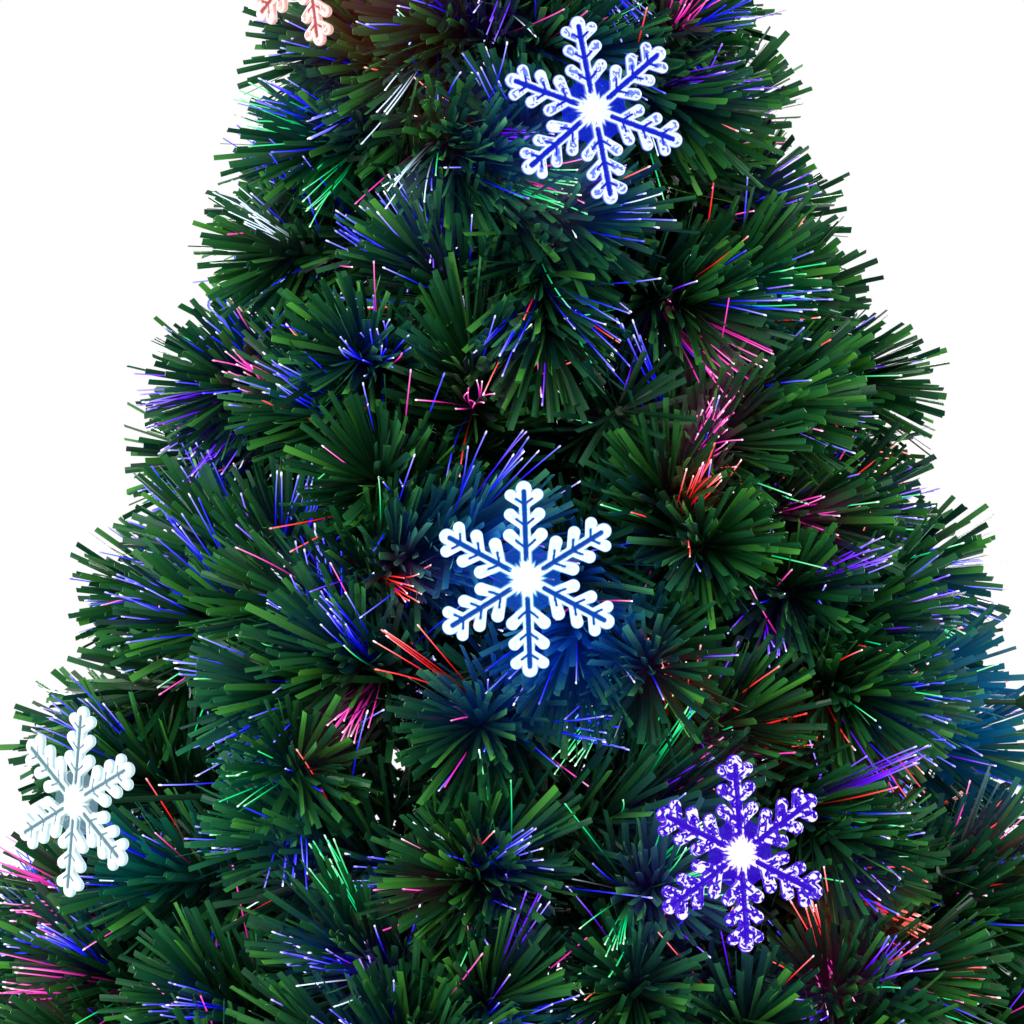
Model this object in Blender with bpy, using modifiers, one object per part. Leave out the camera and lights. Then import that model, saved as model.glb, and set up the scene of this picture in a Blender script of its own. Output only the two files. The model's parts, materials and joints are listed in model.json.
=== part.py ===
"""A 1.5 m fibre-optic Christmas tree with light-up snowflakes, in metres, Z up, its front towards -Y.

The origin is on the floor under the trunk. Azimuths run from the front, positive towards +X.
"""

import math

import bmesh
import bpy
from mathutils import Matrix, Vector

# General
MM = 0.001
CLEARANCE = 0.3 * MM
OVERRUN = 4 * MM
MERGE = 0.01 * MM
ROUND_STEPS = 24
TRUNK_STEPS = 16
SMALL_STEPS = 12
FINE_STEPS = 8
LED_STEPS = 6

# Outer form of the tree
TRUNK_TOP = 1195 * MM
SPRIG_HEIGHT = 305 * MM
SLOPE_SHARE = 0.333

# Base drum
BASE_RADIUS = 150 * MM
BASE_WALL = 2.5 * MM
BASE_TOP = 118 * MM
BASE_SHOULDER = 16 * MM
BASE_SHOULDER_POINTS = 3
FOOT_RADIUS = 13 * MM
FOOT_TOP_RADIUS = 11 * MM
FOOT_HEIGHT = 8 * MM
FOOT_EDGE = 2 * MM
FOOT_INSET = 32 * MM
FOOT_COUNT = 4
FOOT_FIRST_AZIMUTH = 45
PLATE_THICKNESS = 3 * MM

# Socket that the trunk stands in
SOCKET_WALL = 4 * MM
SOCKET_FLANGE_RADIUS = 62 * MM
SOCKET_FLANGE = 4 * MM
FLANGE_OVERLAP = 14 * MM
SOCKET_NECK = 34 * MM
SOCKET_FLOOR = 4 * MM

# Trunk and the fibre bundle in it
TRUNK_RADIUS = 16 * MM
TRUNK_WALL = 2 * MM
FIBRE_HOLE_RADIUS = 3 * MM
BUNDLE_BELOW_TOP = 40 * MM
FERRULE_HEIGHT = 30 * MM
FERRULE_WALL = 3.4 * MM

# Lamp unit under the socket
LAMP_RADIUS = 22 * MM
LAMP_CORE_RADIUS = 15 * MM
LAMP_FIN = 3 * MM
LAMP_FINS = 4
LAMP_HEIGHT = 38 * MM
LENS_RADIUS = 14 * MM
LENS_EDGE = 2 * MM
LENS_CROWN = 4 * MM
LENS_POINTS = 4

# Colour wheel and its motor
WHEEL_MARGIN = 13.5 * MM
WHEEL_GAP = 6 * MM
WHEEL_THICKNESS = 1.5 * MM
WHEEL_HUB_RADIUS = 8 * MM
WHEEL_HUB_HEIGHT = 2.4 * MM
SPINDLE_RADIUS = 2 * MM
SPINDLE_LENGTH = 14 * MM
MOTOR_RADIUS = 20 * MM
MOTOR_BOSS_RADIUS = 6 * MM
MOTOR_BOSS_HEIGHT = 4 * MM
MOTOR_EDGE = 2 * MM

# Driver board with its switch and power inlet, upright behind the rear wall
BOARD_WIDTH = 84 * MM
BOARD_HEIGHT = 52 * MM
BOARD_THICKNESS = 1.6 * MM
BOARD_SETBACK = 34 * MM
CHIP_COUNT = 3
CHIP_WIDTH = 12 * MM
CHIP_HEIGHT = 9 * MM
CHIP_DEPTH = 3 * MM
CONTROL_HEIGHT_SHARE = 0.6
CONTROL_PLACE_SHARE = 0.29
SWITCH_WIDTH = 12 * MM
SWITCH_DEPTH = 6 * MM
BUTTON_RADIUS = 5.5 * MM
BUTTON_PROUD = 3 * MM
BUTTON_TRAVEL = 1.5 * MM
BUTTON_EDGE = 0.8 * MM
INLET_WIDTH = 14 * MM
INLET_DEPTH = 14 * MM
INLET_NOSE_RADIUS = 5.5 * MM
INLET_BORE_RADIUS = 3.2 * MM
INLET_BORE_DEPTH = 10 * MM

# Collars on the trunk, with a bore for each bough
COLLAR_WALL = 13 * MM
COLLAR_HEIGHT = 24 * MM
COLLAR_EDGE = 2 * MM
COLLAR_HEIGHT_SHARES = (0.301, 0.49, 0.695, 0.887)
BOUGH_COUNT = (4, 4, 4, 3)
FIRST_AZIMUTH = (21, 63, 18, 100)

# Boughs: a stem with side twigs, each ending in a whorl of strands
STEM_RADIUS = 5 * MM
STEM_STRAIGHT = 20 * MM
STEM_RISE = 12
TWIG_RADIUS = 3 * MM
WHORL_RADIUS = 4.5 * MM
WHORL_LENGTH = 9 * MM
STRAND_LENGTH = (62 * MM, 58 * MM, 46 * MM, 42 * MM)
STRAND_TIP_SHARE = 0.35
STRAND_ANGLES = (58, 36)
SIDE_FACE_ANGLE = 60
# A twig's root and length as shares of the stem, with its turn and lift in degrees between them
LOWEST_TWIG_SHARES = (
    (0.6, 72, 27, 0.59), (0.52, -22, 31, 0.52), (0.42, 57, 1, 0.69),
    (0.34, -51, -5, 0.76), (0.6, 38, -35, 0.58), (0.5, -32, -32, 0.65),
)
SECOND_TWIG_SHARES = (
    (0.55, -17, 32, 0.47), (0.42, 51, 8, 0.65), (0.34, -47, 1, 0.73),
    (0.58, 23, -37, 0.55), (0.5, -62, -25, 0.76),
)
THIRD_TWIG_SHARES = (
    (0.5, 74, 27, 0.73), (0.42, -35, 39, 0.69), (0.58, 28, -39, 0.58), (0.5, -60, -31, 0.8),
)
HIGHEST_TWIG_SHARES = ((0.35, 62, 45, 0.91),)
TWIG_SHARES = (LOWEST_TWIG_SHARES, SECOND_TWIG_SHARES, THIRD_TWIG_SHARES, HIGHEST_TWIG_SHARES)

# Sprig on top of the trunk
SPRIG_PLUG = 26 * MM
SPRIG_NECK = 12 * MM
SPRIG_WHORL_SHARES = (0.148, 0.377, 0.59, 0.787)
SPRIG_STRAND_LENGTH = (64 * MM, 54 * MM, 46 * MM, 40 * MM)

# Light-up snowflakes on lamps that stand out from the trunk
FLAKE_RADIUS = 47 * MM
FLAKE_THICKNESS = 4 * MM
FLAKE_PROUD = 12 * MM
LED_RADIUS = 2.5 * MM
LED_PROUD = 3 * MM
LED_POINTS = 3
HOLDER_RADIUS = 6 * MM
HOLDER_LENGTH = 16 * MM
HOLDER_RIM_RADIUS = 8 * MM
HOLDER_RIM = 2 * MM
LED_STEM_RADIUS = 2 * MM
GROMMET_RADIUS = 5 * MM
GROMMET_LENGTH = 3 * MM
STEM_IN_TRUNK = 1.5 * MM
# Each snowflake's height as a share of the trunk's top, its azimuth and its spin in degrees
FLAKE_SHARES = (
    (0.838, 12, 11),
    (0.647, 1, 2),
    (0.539, 20.5, 4),
    (0.556, -47, -7),
    (0.907, -43, 10),
    (0.592, 82, 15),
    (0.962, 160, 0),
    (0.774, -140, 20),
    (0.632, 150, 8),
    (0.408, -5, 12),
    (0.408, 175, 0),
)
# One side of an arm from the notch beside the hub: along and across, as shares of the radius
ARM_SHARES = (
    (0.25, 0.10),
    (0.44, 0.215),
    (0.45, 0.06),
    (0.66, 0.185),
    (0.65, 0.055),
    (0.87, 0.155),
    (0.86, 0.05),
)
ARM_COUNT = 6

# Sizes and heights that follow from those above
TREE_HEIGHT = TRUNK_TOP + SPRIG_HEIGHT
PLATE_Z = FOOT_HEIGHT + CLEARANCE
INSIDE_Z = PLATE_Z + PLATE_THICKNESS + CLEARANCE
BASE_SEAT_Z = BASE_TOP + CLEARANCE
TOP_HOLE_RADIUS = SOCKET_FLANGE_RADIUS - FLANGE_OVERLAP
FOOT_CIRCLE = BASE_RADIUS - FOOT_INSET
LENS_Z = INSIDE_Z + LAMP_HEIGHT + CLEARANCE
WHEEL_RADIUS = (BASE_RADIUS - BASE_WALL - WHEEL_MARGIN + LENS_RADIUS) / 2
WHEEL_AXIS_X = WHEEL_RADIUS - LENS_RADIUS
WHEEL_Z = LENS_Z + LENS_EDGE + LENS_CROWN + WHEEL_GAP
SOCKET_FLOOR_Z = WHEEL_Z + WHEEL_THICKNESS + WHEEL_GAP
SOCKET_TOP = BASE_SEAT_Z + SOCKET_NECK
TRUNK_BOTTOM = SOCKET_FLOOR_Z + SOCKET_FLOOR + CLEARANCE
TRUNK_BORE = TRUNK_RADIUS - TRUNK_WALL
BUNDLE_RADIUS = TRUNK_BORE - FERRULE_WALL - 2 * CLEARANCE
BOARD_Y = BASE_RADIUS - BOARD_SETBACK
CONTROL_Z = INSIDE_Z + BOARD_HEIGHT * CONTROL_HEIGHT_SHARE
CONTROL_X = BOARD_WIDTH * CONTROL_PLACE_SHARE
COLLAR_RADIUS = TRUNK_RADIUS + COLLAR_WALL
COLLAR_Z = [share * TRUNK_TOP for share in COLLAR_HEIGHT_SHARES]
FLAKE_PLACES = [(share * TRUNK_TOP, azimuth, spin) for share, azimuth, spin in FLAKE_SHARES]


def clear_radius(radius, steps):
    """Radius of a faceted hole that a round piece of this radius turns in with the clearance."""
    return (radius + CLEARANCE) / math.cos(math.pi / steps)


def inner_radius(radius, steps):
    """Radius of a round piece that sits in a faceted hole of this radius with the clearance."""
    return radius * math.cos(math.pi / steps) - CLEARANCE


def tree_radius(z):
    """Radius of the tree's outer cone at a height."""
    return (TREE_HEIGHT - z) * SLOPE_SHARE


def outward(azimuth):
    """Level unit vector away from the trunk at an azimuth from the front."""
    turn = math.radians(azimuth)
    return Vector((math.sin(turn), -math.cos(turn), 0))


def arc(centre_x, centre_z, radius, start, end, count):
    """Points of a profile's round stretch, with angles in degrees from +X towards +Z."""
    turns = [math.radians(start + (end - start) * i / (count - 1)) for i in range(count)]
    return [(centre_x + radius * math.cos(t), centre_z + radius * math.sin(t)) for t in turns]


# Scene, collections and materials


def clear_scene():
    for obj in list(bpy.data.objects):
        bpy.data.objects.remove(obj)


def new_collection(name):
    collection = bpy.data.collections.new(name)
    bpy.context.scene.collection.children.link(collection)
    return collection


def make_material(name, colour, roughness, metallic=0.0):
    material = bpy.data.materials.new(name)
    material.use_nodes = True
    shader = material.node_tree.nodes["Principled BSDF"]
    shader.inputs["Base Color"].default_value = (*colour, 1)
    shader.inputs["Roughness"].default_value = roughness
    shader.inputs["Metallic"].default_value = metallic
    return material


clear_scene()
PARTS = new_collection("led_christmas_tree")
CUTTERS = new_collection("cutters")
BASE_PLASTIC = make_material("base_plastic", (0.02, 0.06, 0.03), 0.45)
STEEL = make_material("steel", (0.45, 0.46, 0.47), 0.35, 1.0)
RUBBER = make_material("rubber", (0.02, 0.02, 0.02), 0.9)
TRUNK_PAINT = make_material("trunk_paint", (0.02, 0.07, 0.03), 0.5)
COLLAR_PLASTIC = make_material("collar_plastic", (0.02, 0.05, 0.03), 0.5)
FIBRE = make_material("fibre", (0.75, 0.8, 0.85), 0.1)
BRASS = make_material("brass", (0.7, 0.5, 0.2), 0.3, 1.0)
LENS_GLASS = make_material("lens_glass", (0.9, 0.95, 1.0), 0.03)
WHEEL_FILM = make_material("wheel_film", (0.5, 0.2, 0.6), 0.2)
BOARD_GREEN = make_material("board_green", (0.02, 0.25, 0.1), 0.5)
BLACK_PLASTIC = make_material("black_plastic", (0.03, 0.03, 0.03), 0.4)
BUTTON_PLASTIC = make_material("button_plastic", (0.75, 0.75, 0.72), 0.4)
NEEDLE_GREEN = make_material("needle_green", (0.02, 0.12, 0.04), 0.45)
CLEAR_ACRYLIC = make_material("clear_acrylic", (0.8, 0.92, 1.0), 0.08)
LED_PLASTIC = make_material("led_plastic", (0.03, 0.09, 0.04), 0.4)


# Building blocks


def add_object(name, data, material, collection=None):
    obj = bpy.data.objects.new(name, data)
    data.materials.append(material)
    (collection or PARTS).objects.link(obj)
    return obj


def turned(name, profile, steps, material, closed=False, collection=None):
    """A profile of (radius, height) points, turned about Z. It runs down its outer side."""
    mesh = bpy.data.meshes.new(name)
    edges = [(i, i + 1) for i in range(len(profile) - 1)]
    if closed:
        edges.append((len(profile) - 1, 0))
    mesh.from_pydata([(x, 0, z) for x, z in profile], edges, [])
    obj = add_object(name, mesh, material, collection)
    screw = obj.modifiers.new("Turn", "SCREW")
    screw.axis = "Z"
    screw.steps = steps
    screw.render_steps = steps
    screw.use_merge_vertices = True
    screw.merge_threshold = MERGE
    screw.use_smooth_shade = True
    return obj


def box(name, size, centre, material, collection=None):
    mesh = bpy.data.meshes.new(name)
    shape = bmesh.new()
    bmesh.ops.create_cube(shape, size=1)
    bmesh.ops.scale(shape, vec=size, verts=shape.verts)
    bmesh.ops.translate(shape, vec=centre, verts=shape.verts)
    shape.to_mesh(mesh)
    shape.free()
    return add_object(name, mesh, material, collection)


def as_cutter(obj):
    obj.hide_render = True
    obj.display_type = "WIRE"
    return obj


def rod_cutter(name, radius, length, steps, centre, direction):
    """A faceted rod along a direction, for a Boolean."""
    mesh = bpy.data.meshes.new(name)
    shape = bmesh.new()
    bmesh.ops.create_cone(
        shape, cap_ends=True, segments=steps, radius1=radius, radius2=radius, depth=length
    )
    shape.to_mesh(mesh)
    shape.free()
    obj = add_object(name, mesh, STEEL, CUTTERS)
    obj.rotation_euler = Vector(direction).to_track_quat("Z", "Y").to_euler()
    obj.location = centre
    return as_cutter(obj)


def boolean(obj, other, operation):
    modifier = obj.modifiers.new(other.name, "BOOLEAN")
    modifier.operation = operation
    modifier.solver = "EXACT"
    modifier.object = other


def evaluated_mesh(obj, name):
    depsgraph = bpy.context.evaluated_depsgraph_get()
    depsgraph.update()
    mesh = bpy.data.meshes.new_from_object(obj.evaluated_get(depsgraph))
    mesh.name = name
    return mesh


# Base


def base_housing():
    outer = BASE_RADIUS - BASE_SHOULDER
    inner_shoulder = BASE_SHOULDER - BASE_WALL
    shoulder_z = BASE_TOP - BASE_SHOULDER
    profile = [(TOP_HOLE_RADIUS, BASE_TOP)]
    profile += reversed(arc(outer, shoulder_z, BASE_SHOULDER, 0, 90, BASE_SHOULDER_POINTS))
    profile += [(BASE_RADIUS, PLATE_Z), (BASE_RADIUS - BASE_WALL, PLATE_Z)]
    profile += arc(outer, shoulder_z, inner_shoulder, 0, 90, BASE_SHOULDER_POINTS)
    profile.append((TOP_HOLE_RADIUS, BASE_TOP - BASE_WALL))
    housing = turned("base_housing", profile, ROUND_STEPS, BASE_PLASTIC, closed=True)
    rear = Vector((0, 1, 0))
    for name, x, radius in (
        ("button_hole", -CONTROL_X, BUTTON_RADIUS),
        ("inlet_hole", CONTROL_X, INLET_NOSE_RADIUS),
    ):
        centre = (x, BASE_RADIUS, CONTROL_Z)
        hole = clear_radius(radius, SMALL_STEPS)
        depth = BASE_SHOULDER + OVERRUN
        boolean(housing, rod_cutter(name, hole, depth, SMALL_STEPS, centre, rear), "DIFFERENCE")


def base_plate():
    radius = BASE_RADIUS - BASE_WALL - CLEARANCE
    top = PLATE_Z + PLATE_THICKNESS
    turned(
        "base_plate", [(0, top), (radius, top), (radius, PLATE_Z), (0, PLATE_Z)], ROUND_STEPS, STEEL
    )


def feet():
    profile = [
        (0, FOOT_HEIGHT),
        (FOOT_TOP_RADIUS, FOOT_HEIGHT),
        (FOOT_RADIUS, FOOT_EDGE),
        (FOOT_RADIUS - FOOT_EDGE, 0),
        (0, 0),
    ]
    for index in range(FOOT_COUNT):
        foot = turned(f"foot_{index + 1}", profile, SMALL_STEPS, RUBBER)
        foot.location = outward(FOOT_FIRST_AZIMUTH + index * 360 / FOOT_COUNT) * FOOT_CIRCLE


def trunk_socket():
    bore = TRUNK_RADIUS + CLEARANCE
    wall = bore + SOCKET_WALL
    flange_top = BASE_SEAT_Z + SOCKET_FLANGE
    floor_top = SOCKET_FLOOR_Z + SOCKET_FLOOR
    profile = [
        (bore, SOCKET_TOP),
        (wall, SOCKET_TOP),
        (wall + SOCKET_WALL, flange_top + SOCKET_WALL),
        (SOCKET_FLANGE_RADIUS - SOCKET_FLANGE, flange_top),
        (SOCKET_FLANGE_RADIUS, BASE_SEAT_Z),
        (wall, BASE_SEAT_Z),
        (wall, SOCKET_FLOOR_Z),
        (BUNDLE_RADIUS, SOCKET_FLOOR_Z),
        (BUNDLE_RADIUS, floor_top),
        (bore, floor_top),
    ]
    turned("trunk_socket", profile, TRUNK_STEPS, BASE_PLASTIC, closed=True)


def lamp_module():
    """The lamp's heat sink: a core with level fins, and a seat on top for the lens."""
    top = INSIDE_Z + LAMP_HEIGHT
    pitch = (LAMP_HEIGHT - LAMP_FIN) / (LAMP_FINS - 1)
    profile = [(0, top), (LAMP_RADIUS, top)]
    for index in range(LAMP_FINS - 1):
        fin_z = top - index * pitch - LAMP_FIN
        profile += [(LAMP_RADIUS, fin_z), (LAMP_CORE_RADIUS, fin_z)]
        next_z = fin_z - pitch + LAMP_FIN
        profile += [(LAMP_CORE_RADIUS, next_z), (LAMP_RADIUS, next_z)]
    profile += [(LAMP_RADIUS, INSIDE_Z), (0, INSIDE_Z)]
    turned("lamp_module", profile, SMALL_STEPS, STEEL)


def lamp_lens():
    edge_z = LENS_Z + LENS_EDGE
    crown = [
        (
            LENS_RADIUS * i / LENS_POINTS,
            edge_z + LENS_CROWN * (1 - (i / LENS_POINTS) ** 2),
        )
        for i in range(LENS_POINTS + 1)
    ]
    profile = [*crown, (LENS_RADIUS, LENS_Z), (0, LENS_Z)]
    turned("lamp_lens", profile, SMALL_STEPS, LENS_GLASS)


def colour_wheel():
    """The disc of filters with its hub and spindle, turned about its own origin."""
    hub_top = WHEEL_THICKNESS + WHEEL_HUB_HEIGHT
    profile = [
        (0, hub_top),
        (WHEEL_HUB_RADIUS, hub_top),
        (WHEEL_HUB_RADIUS, WHEEL_THICKNESS),
        (WHEEL_RADIUS, WHEEL_THICKNESS),
        (WHEEL_RADIUS, 0),
        (SPINDLE_RADIUS, 0),
        (SPINDLE_RADIUS, -SPINDLE_LENGTH),
        (0, -SPINDLE_LENGTH),
    ]
    wheel = turned("colour_wheel", profile, ROUND_STEPS, WHEEL_FILM)
    wheel.location = (WHEEL_AXIS_X, 0, WHEEL_Z)


def wheel_motor():
    boss_top = WHEEL_Z - CLEARANCE
    top = boss_top - MOTOR_BOSS_HEIGHT
    bore = clear_radius(SPINDLE_RADIUS, SMALL_STEPS)
    bore_bottom = WHEEL_Z - SPINDLE_LENGTH - CLEARANCE
    profile = [
        (0, bore_bottom),
        (bore, bore_bottom),
        (bore, boss_top),
        (MOTOR_BOSS_RADIUS, boss_top),
        (MOTOR_BOSS_RADIUS, top),
        (MOTOR_RADIUS - MOTOR_EDGE, top),
        (MOTOR_RADIUS, top - MOTOR_EDGE),
        (MOTOR_RADIUS, INSIDE_Z),
        (0, INSIDE_Z),
    ]
    motor = turned("wheel_motor", profile, SMALL_STEPS, STEEL)
    motor.location = (WHEEL_AXIS_X, 0, 0)


def driver_board():
    """The upright board with its chips, in one solid."""
    centre = (0, BOARD_Y, INSIDE_Z + BOARD_HEIGHT / 2)
    board = box("driver_board", (BOARD_WIDTH, BOARD_THICKNESS, BOARD_HEIGHT), centre, BOARD_GREEN)
    chip_y = BOARD_Y - (BOARD_THICKNESS + CHIP_DEPTH) / 2
    spacing = BOARD_WIDTH / CHIP_COUNT
    for index in range(CHIP_COUNT):
        chip_size = (CHIP_WIDTH, CHIP_DEPTH + BOARD_THICKNESS, CHIP_HEIGHT)
        chip_centre = ((index + 0.5) * spacing - BOARD_WIDTH / 2, chip_y, centre[2])
        chip = box(f"chip_{index + 1}", chip_size, chip_centre, BLACK_PLASTIC, CUTTERS)
        boolean(board, as_cutter(chip), "UNION")


def mode_switch():
    y = BOARD_Y + (BOARD_THICKNESS + SWITCH_DEPTH) / 2 + CLEARANCE
    size = (SWITCH_WIDTH, SWITCH_DEPTH, SWITCH_WIDTH)
    box("mode_switch", size, (-CONTROL_X, y, CONTROL_Z), BLACK_PLASTIC)


def wall_y():
    """How far back the housing's outer face is, at the controls."""
    return math.sqrt(BASE_RADIUS**2 - CONTROL_X**2)


def mode_button():
    """The button that goes through the rear wall to the switch, along its own Z."""
    inner_y = BOARD_Y + BOARD_THICKNESS / 2 + SWITCH_DEPTH + 2 * CLEARANCE + BUTTON_TRAVEL
    length = wall_y() + BUTTON_PROUD - inner_y
    profile = [
        (0, length),
        (BUTTON_RADIUS - BUTTON_EDGE, length),
        (BUTTON_RADIUS, length - BUTTON_EDGE),
        (BUTTON_RADIUS, 0),
        (0, 0),
    ]
    button = turned("mode_button", profile, SMALL_STEPS, BUTTON_PLASTIC)
    button.rotation_euler = Vector((0, 1, 0)).to_track_quat("Z", "Y").to_euler()
    button.location = (-CONTROL_X, inner_y, CONTROL_Z)


def power_inlet():
    """The barrel socket for the supply: a block on the board and a nose in the rear wall."""
    face_y = BOARD_Y + BOARD_THICKNESS / 2 + CLEARANCE
    size = (INLET_WIDTH, INLET_DEPTH, INLET_WIDTH)
    inlet = box(
        "power_inlet", size, (CONTROL_X, face_y + INLET_DEPTH / 2, CONTROL_Z), BLACK_PLASTIC
    )
    nose_end = wall_y()
    nose_centre = (CONTROL_X, (face_y + nose_end) / 2, CONTROL_Z)
    rear = Vector((0, 1, 0))
    nose = rod_cutter(
        "inlet_nose", INLET_NOSE_RADIUS, nose_end - face_y, SMALL_STEPS, nose_centre, rear
    )
    boolean(inlet, nose, "UNION")
    bore_centre = (CONTROL_X, nose_end, CONTROL_Z)
    bore = rod_cutter(
        "inlet_bore", INLET_BORE_RADIUS, 2 * INLET_BORE_DEPTH, FINE_STEPS, bore_centre, rear
    )
    boolean(inlet, bore, "DIFFERENCE")


# Trunk


def trunk():
    profile = [
        (TRUNK_RADIUS, TRUNK_TOP),
        (TRUNK_RADIUS, TRUNK_BOTTOM),
        (TRUNK_BORE, TRUNK_BOTTOM),
        (TRUNK_BORE, TRUNK_TOP),
    ]
    tube = turned("trunk", profile, TRUNK_STEPS, TRUNK_PAINT, closed=True)
    for index, (z, azimuth, _) in enumerate(FLAKE_PLACES):
        trunk_hole(tube, f"led_hole_{index + 1}", LED_STEM_RADIUS, z, azimuth)
    for tier, z in enumerate(COLLAR_Z):
        for index, azimuth in enumerate(bough_azimuths(tier)):
            trunk_hole(tube, f"fibre_hole_{tier + 1}_{index + 1}", FIBRE_HOLE_RADIUS, z, azimuth)


def trunk_hole(tube, name, radius, z, azimuth):
    """A hole through one wall of the trunk, with the clearance round what goes in it."""
    direction = outward(azimuth)
    centre = direction * (TRUNK_RADIUS - TRUNK_WALL / 2) + Vector((0, 0, z))
    length = TRUNK_WALL + OVERRUN
    hole = clear_radius(radius, FINE_STEPS)
    boolean(tube, rod_cutter(name, hole, length, FINE_STEPS, centre, direction), "DIFFERENCE")


def fibre_bundle():
    bottom = TRUNK_BOTTOM
    top = TRUNK_TOP - BUNDLE_BELOW_TOP
    profile = [
        (0, top),
        (BUNDLE_RADIUS / 2, top),
        (BUNDLE_RADIUS, top - BUNDLE_BELOW_TOP),
        (BUNDLE_RADIUS, bottom),
        (0, bottom),
    ]
    turned("fibre_bundle", profile, TRUNK_STEPS, FIBRE)


def fibre_ferrule():
    outer = TRUNK_BORE - CLEARANCE
    inner = BUNDLE_RADIUS + CLEARANCE
    top = TRUNK_BOTTOM + FERRULE_HEIGHT
    profile = [(inner, top), (outer, top), (outer, TRUNK_BOTTOM), (inner, TRUNK_BOTTOM)]
    turned("fibre_ferrule", profile, TRUNK_STEPS, BRASS, closed=True)


def bough_azimuths(tier):
    count = BOUGH_COUNT[tier]
    return [FIRST_AZIMUTH[tier] + index * 360 / count for index in range(count)]


def bough_collar(tier):
    bore = TRUNK_RADIUS + CLEARANCE
    half = COLLAR_HEIGHT / 2
    z = COLLAR_Z[tier]
    profile = [
        (bore, z + half),
        (COLLAR_RADIUS - COLLAR_EDGE, z + half),
        (COLLAR_RADIUS, z + half - COLLAR_EDGE),
        (COLLAR_RADIUS, z - half + COLLAR_EDGE),
        (COLLAR_RADIUS - COLLAR_EDGE, z - half),
        (bore, z - half),
    ]
    collar = turned(
        f"bough_collar_{tier + 1}", profile, TRUNK_STEPS, COLLAR_PLASTIC, closed=True
    )
    hole = clear_radius(STEM_RADIUS, FINE_STEPS)
    length = COLLAR_RADIUS - bore + 2 * OVERRUN
    for index, azimuth in enumerate(bough_azimuths(tier)):
        direction = outward(azimuth)
        centre = direction * ((COLLAR_RADIUS + bore) / 2) + Vector((0, 0, z))
        name = f"bough_hole_{tier + 1}_{index + 1}"
        cutter = rod_cutter(name, hole, length, FINE_STEPS, centre, direction)
        boolean(collar, cutter, "DIFFERENCE")


# Boughs


def strand_direction(axis, side, index):
    angle = math.radians(STRAND_ANGLES[index % len(STRAND_ANGLES)])
    return axis * math.cos(angle) + side * math.sin(angle)


def add_whorls(mesh, whorls):
    """Draws the side faces of each (start, end, strand length) whorl out into strands of four sides."""
    shape = bmesh.new()
    shape.from_mesh(mesh)
    bmesh.ops.remove_doubles(shape, verts=shape.verts, dist=MERGE)
    for start, end, strand_length in whorls:
        axis = (end - start).normalized()
        middle = (start + end) / 2
        half = (end - start).length / 2
        faces = []
        for face in shape.faces:
            reach = face.calc_center_median() - middle
            across = abs(face.normal.dot(axis)) < math.cos(math.radians(SIDE_FACE_ANGLE))
            if across and abs(reach.dot(axis)) < half / 2 and reach.length < WHORL_LENGTH:
                faces.append(face)
        first = faces[0].normal.copy()
        faces.sort(key=lambda f: around(f.normal, first, axis))
        drawn = bmesh.ops.extrude_discrete_faces(shape, faces=faces)["faces"]
        for index, face in enumerate(drawn):
            draw_strand(face, axis, middle, index, strand_length)
    bmesh.ops.recalc_face_normals(shape, faces=shape.faces)
    shape.to_mesh(mesh)
    shape.free()


def around(side, first, axis):
    """Angle of a side vector about the axis from the first one."""
    return math.atan2(axis.dot(first.cross(side)), first.dot(side)) % math.tau


def draw_strand(face, axis, middle, index, length):
    centre = face.calc_center_median()
    reach = centre - middle
    side = (reach - axis * reach.dot(axis)).normalized()
    tip = centre + strand_direction(axis, side, index) * length
    for corner in face.verts:
        corner.co = tip + (corner.co - centre) * STRAND_TIP_SHARE


def rod_mesh(name, stations):
    """A six-sided rod through (point, radius) stations, as a welded mesh."""
    curve = bpy.data.curves.new(name, "CURVE")
    curve.dimensions = "3D"
    curve.bevel_depth = STEM_RADIUS
    curve.bevel_resolution = 1
    curve.use_fill_caps = True
    spline = curve.splines.new("POLY")
    spline.points.add(len(stations) - 1)
    for point, (place, radius) in zip(spline.points, stations):
        point.co = (*place, 1)
        point.radius = radius / STEM_RADIUS
    obj = bpy.data.objects.new(name, curve)
    CUTTERS.objects.link(obj)
    mesh = evaluated_mesh(obj, name)
    bpy.data.objects.remove(obj)
    shape = bmesh.new()
    shape.from_mesh(mesh)
    bmesh.ops.remove_doubles(shape, verts=shape.verts, dist=MERGE)
    shape.to_mesh(mesh)
    shape.free()
    return mesh


def rod_with_whorl(name, path, root_radius, strand_length):
    """A rod along a path, whose last stretch is a whorl of strands."""
    end = path[-1]
    axis = (end - path[-2]).normalized()
    start = end - axis * WHORL_LENGTH
    stations = [(place, root_radius) for place in path[:-1]]
    stations += [(start, WHORL_RADIUS), (end, WHORL_RADIUS)]
    mesh = rod_mesh(name, stations)
    add_whorls(mesh, [(start, end, strand_length)])
    return mesh


def stem_path(length):
    """A bough's stem: level through its collar, then rising, from the trunk's face along X."""
    straight = COLLAR_RADIUS - TRUNK_RADIUS + STEM_STRAIGHT
    rise = math.radians(STEM_RISE)
    run = length - straight
    knee = Vector((straight, 0, 0))
    tip = knee + Vector((run * math.cos(rise), 0, run * math.sin(rise)))
    return [Vector((0, 0, 0)), knee, tip]


def place_along(path, distance):
    """The point at a distance along a path of straight stretches."""
    for start, end in zip(path, path[1:]):
        stretch = (end - start).length
        if distance <= stretch:
            return start + (end - start) * (distance / stretch)
        distance -= stretch
    return path[-1]


def twig_path(path, length, shares):
    from_share, turn, lift, length_share = shares
    root = place_along(path, length * from_share)
    heading = Vector((1, 0, 0))
    heading.rotate(Matrix.Rotation(-math.radians(lift + STEM_RISE), 3, "Y"))
    heading.rotate(Matrix.Rotation(math.radians(turn), 3, "Z"))
    return [root, root + heading * (length * length_share)]


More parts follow.
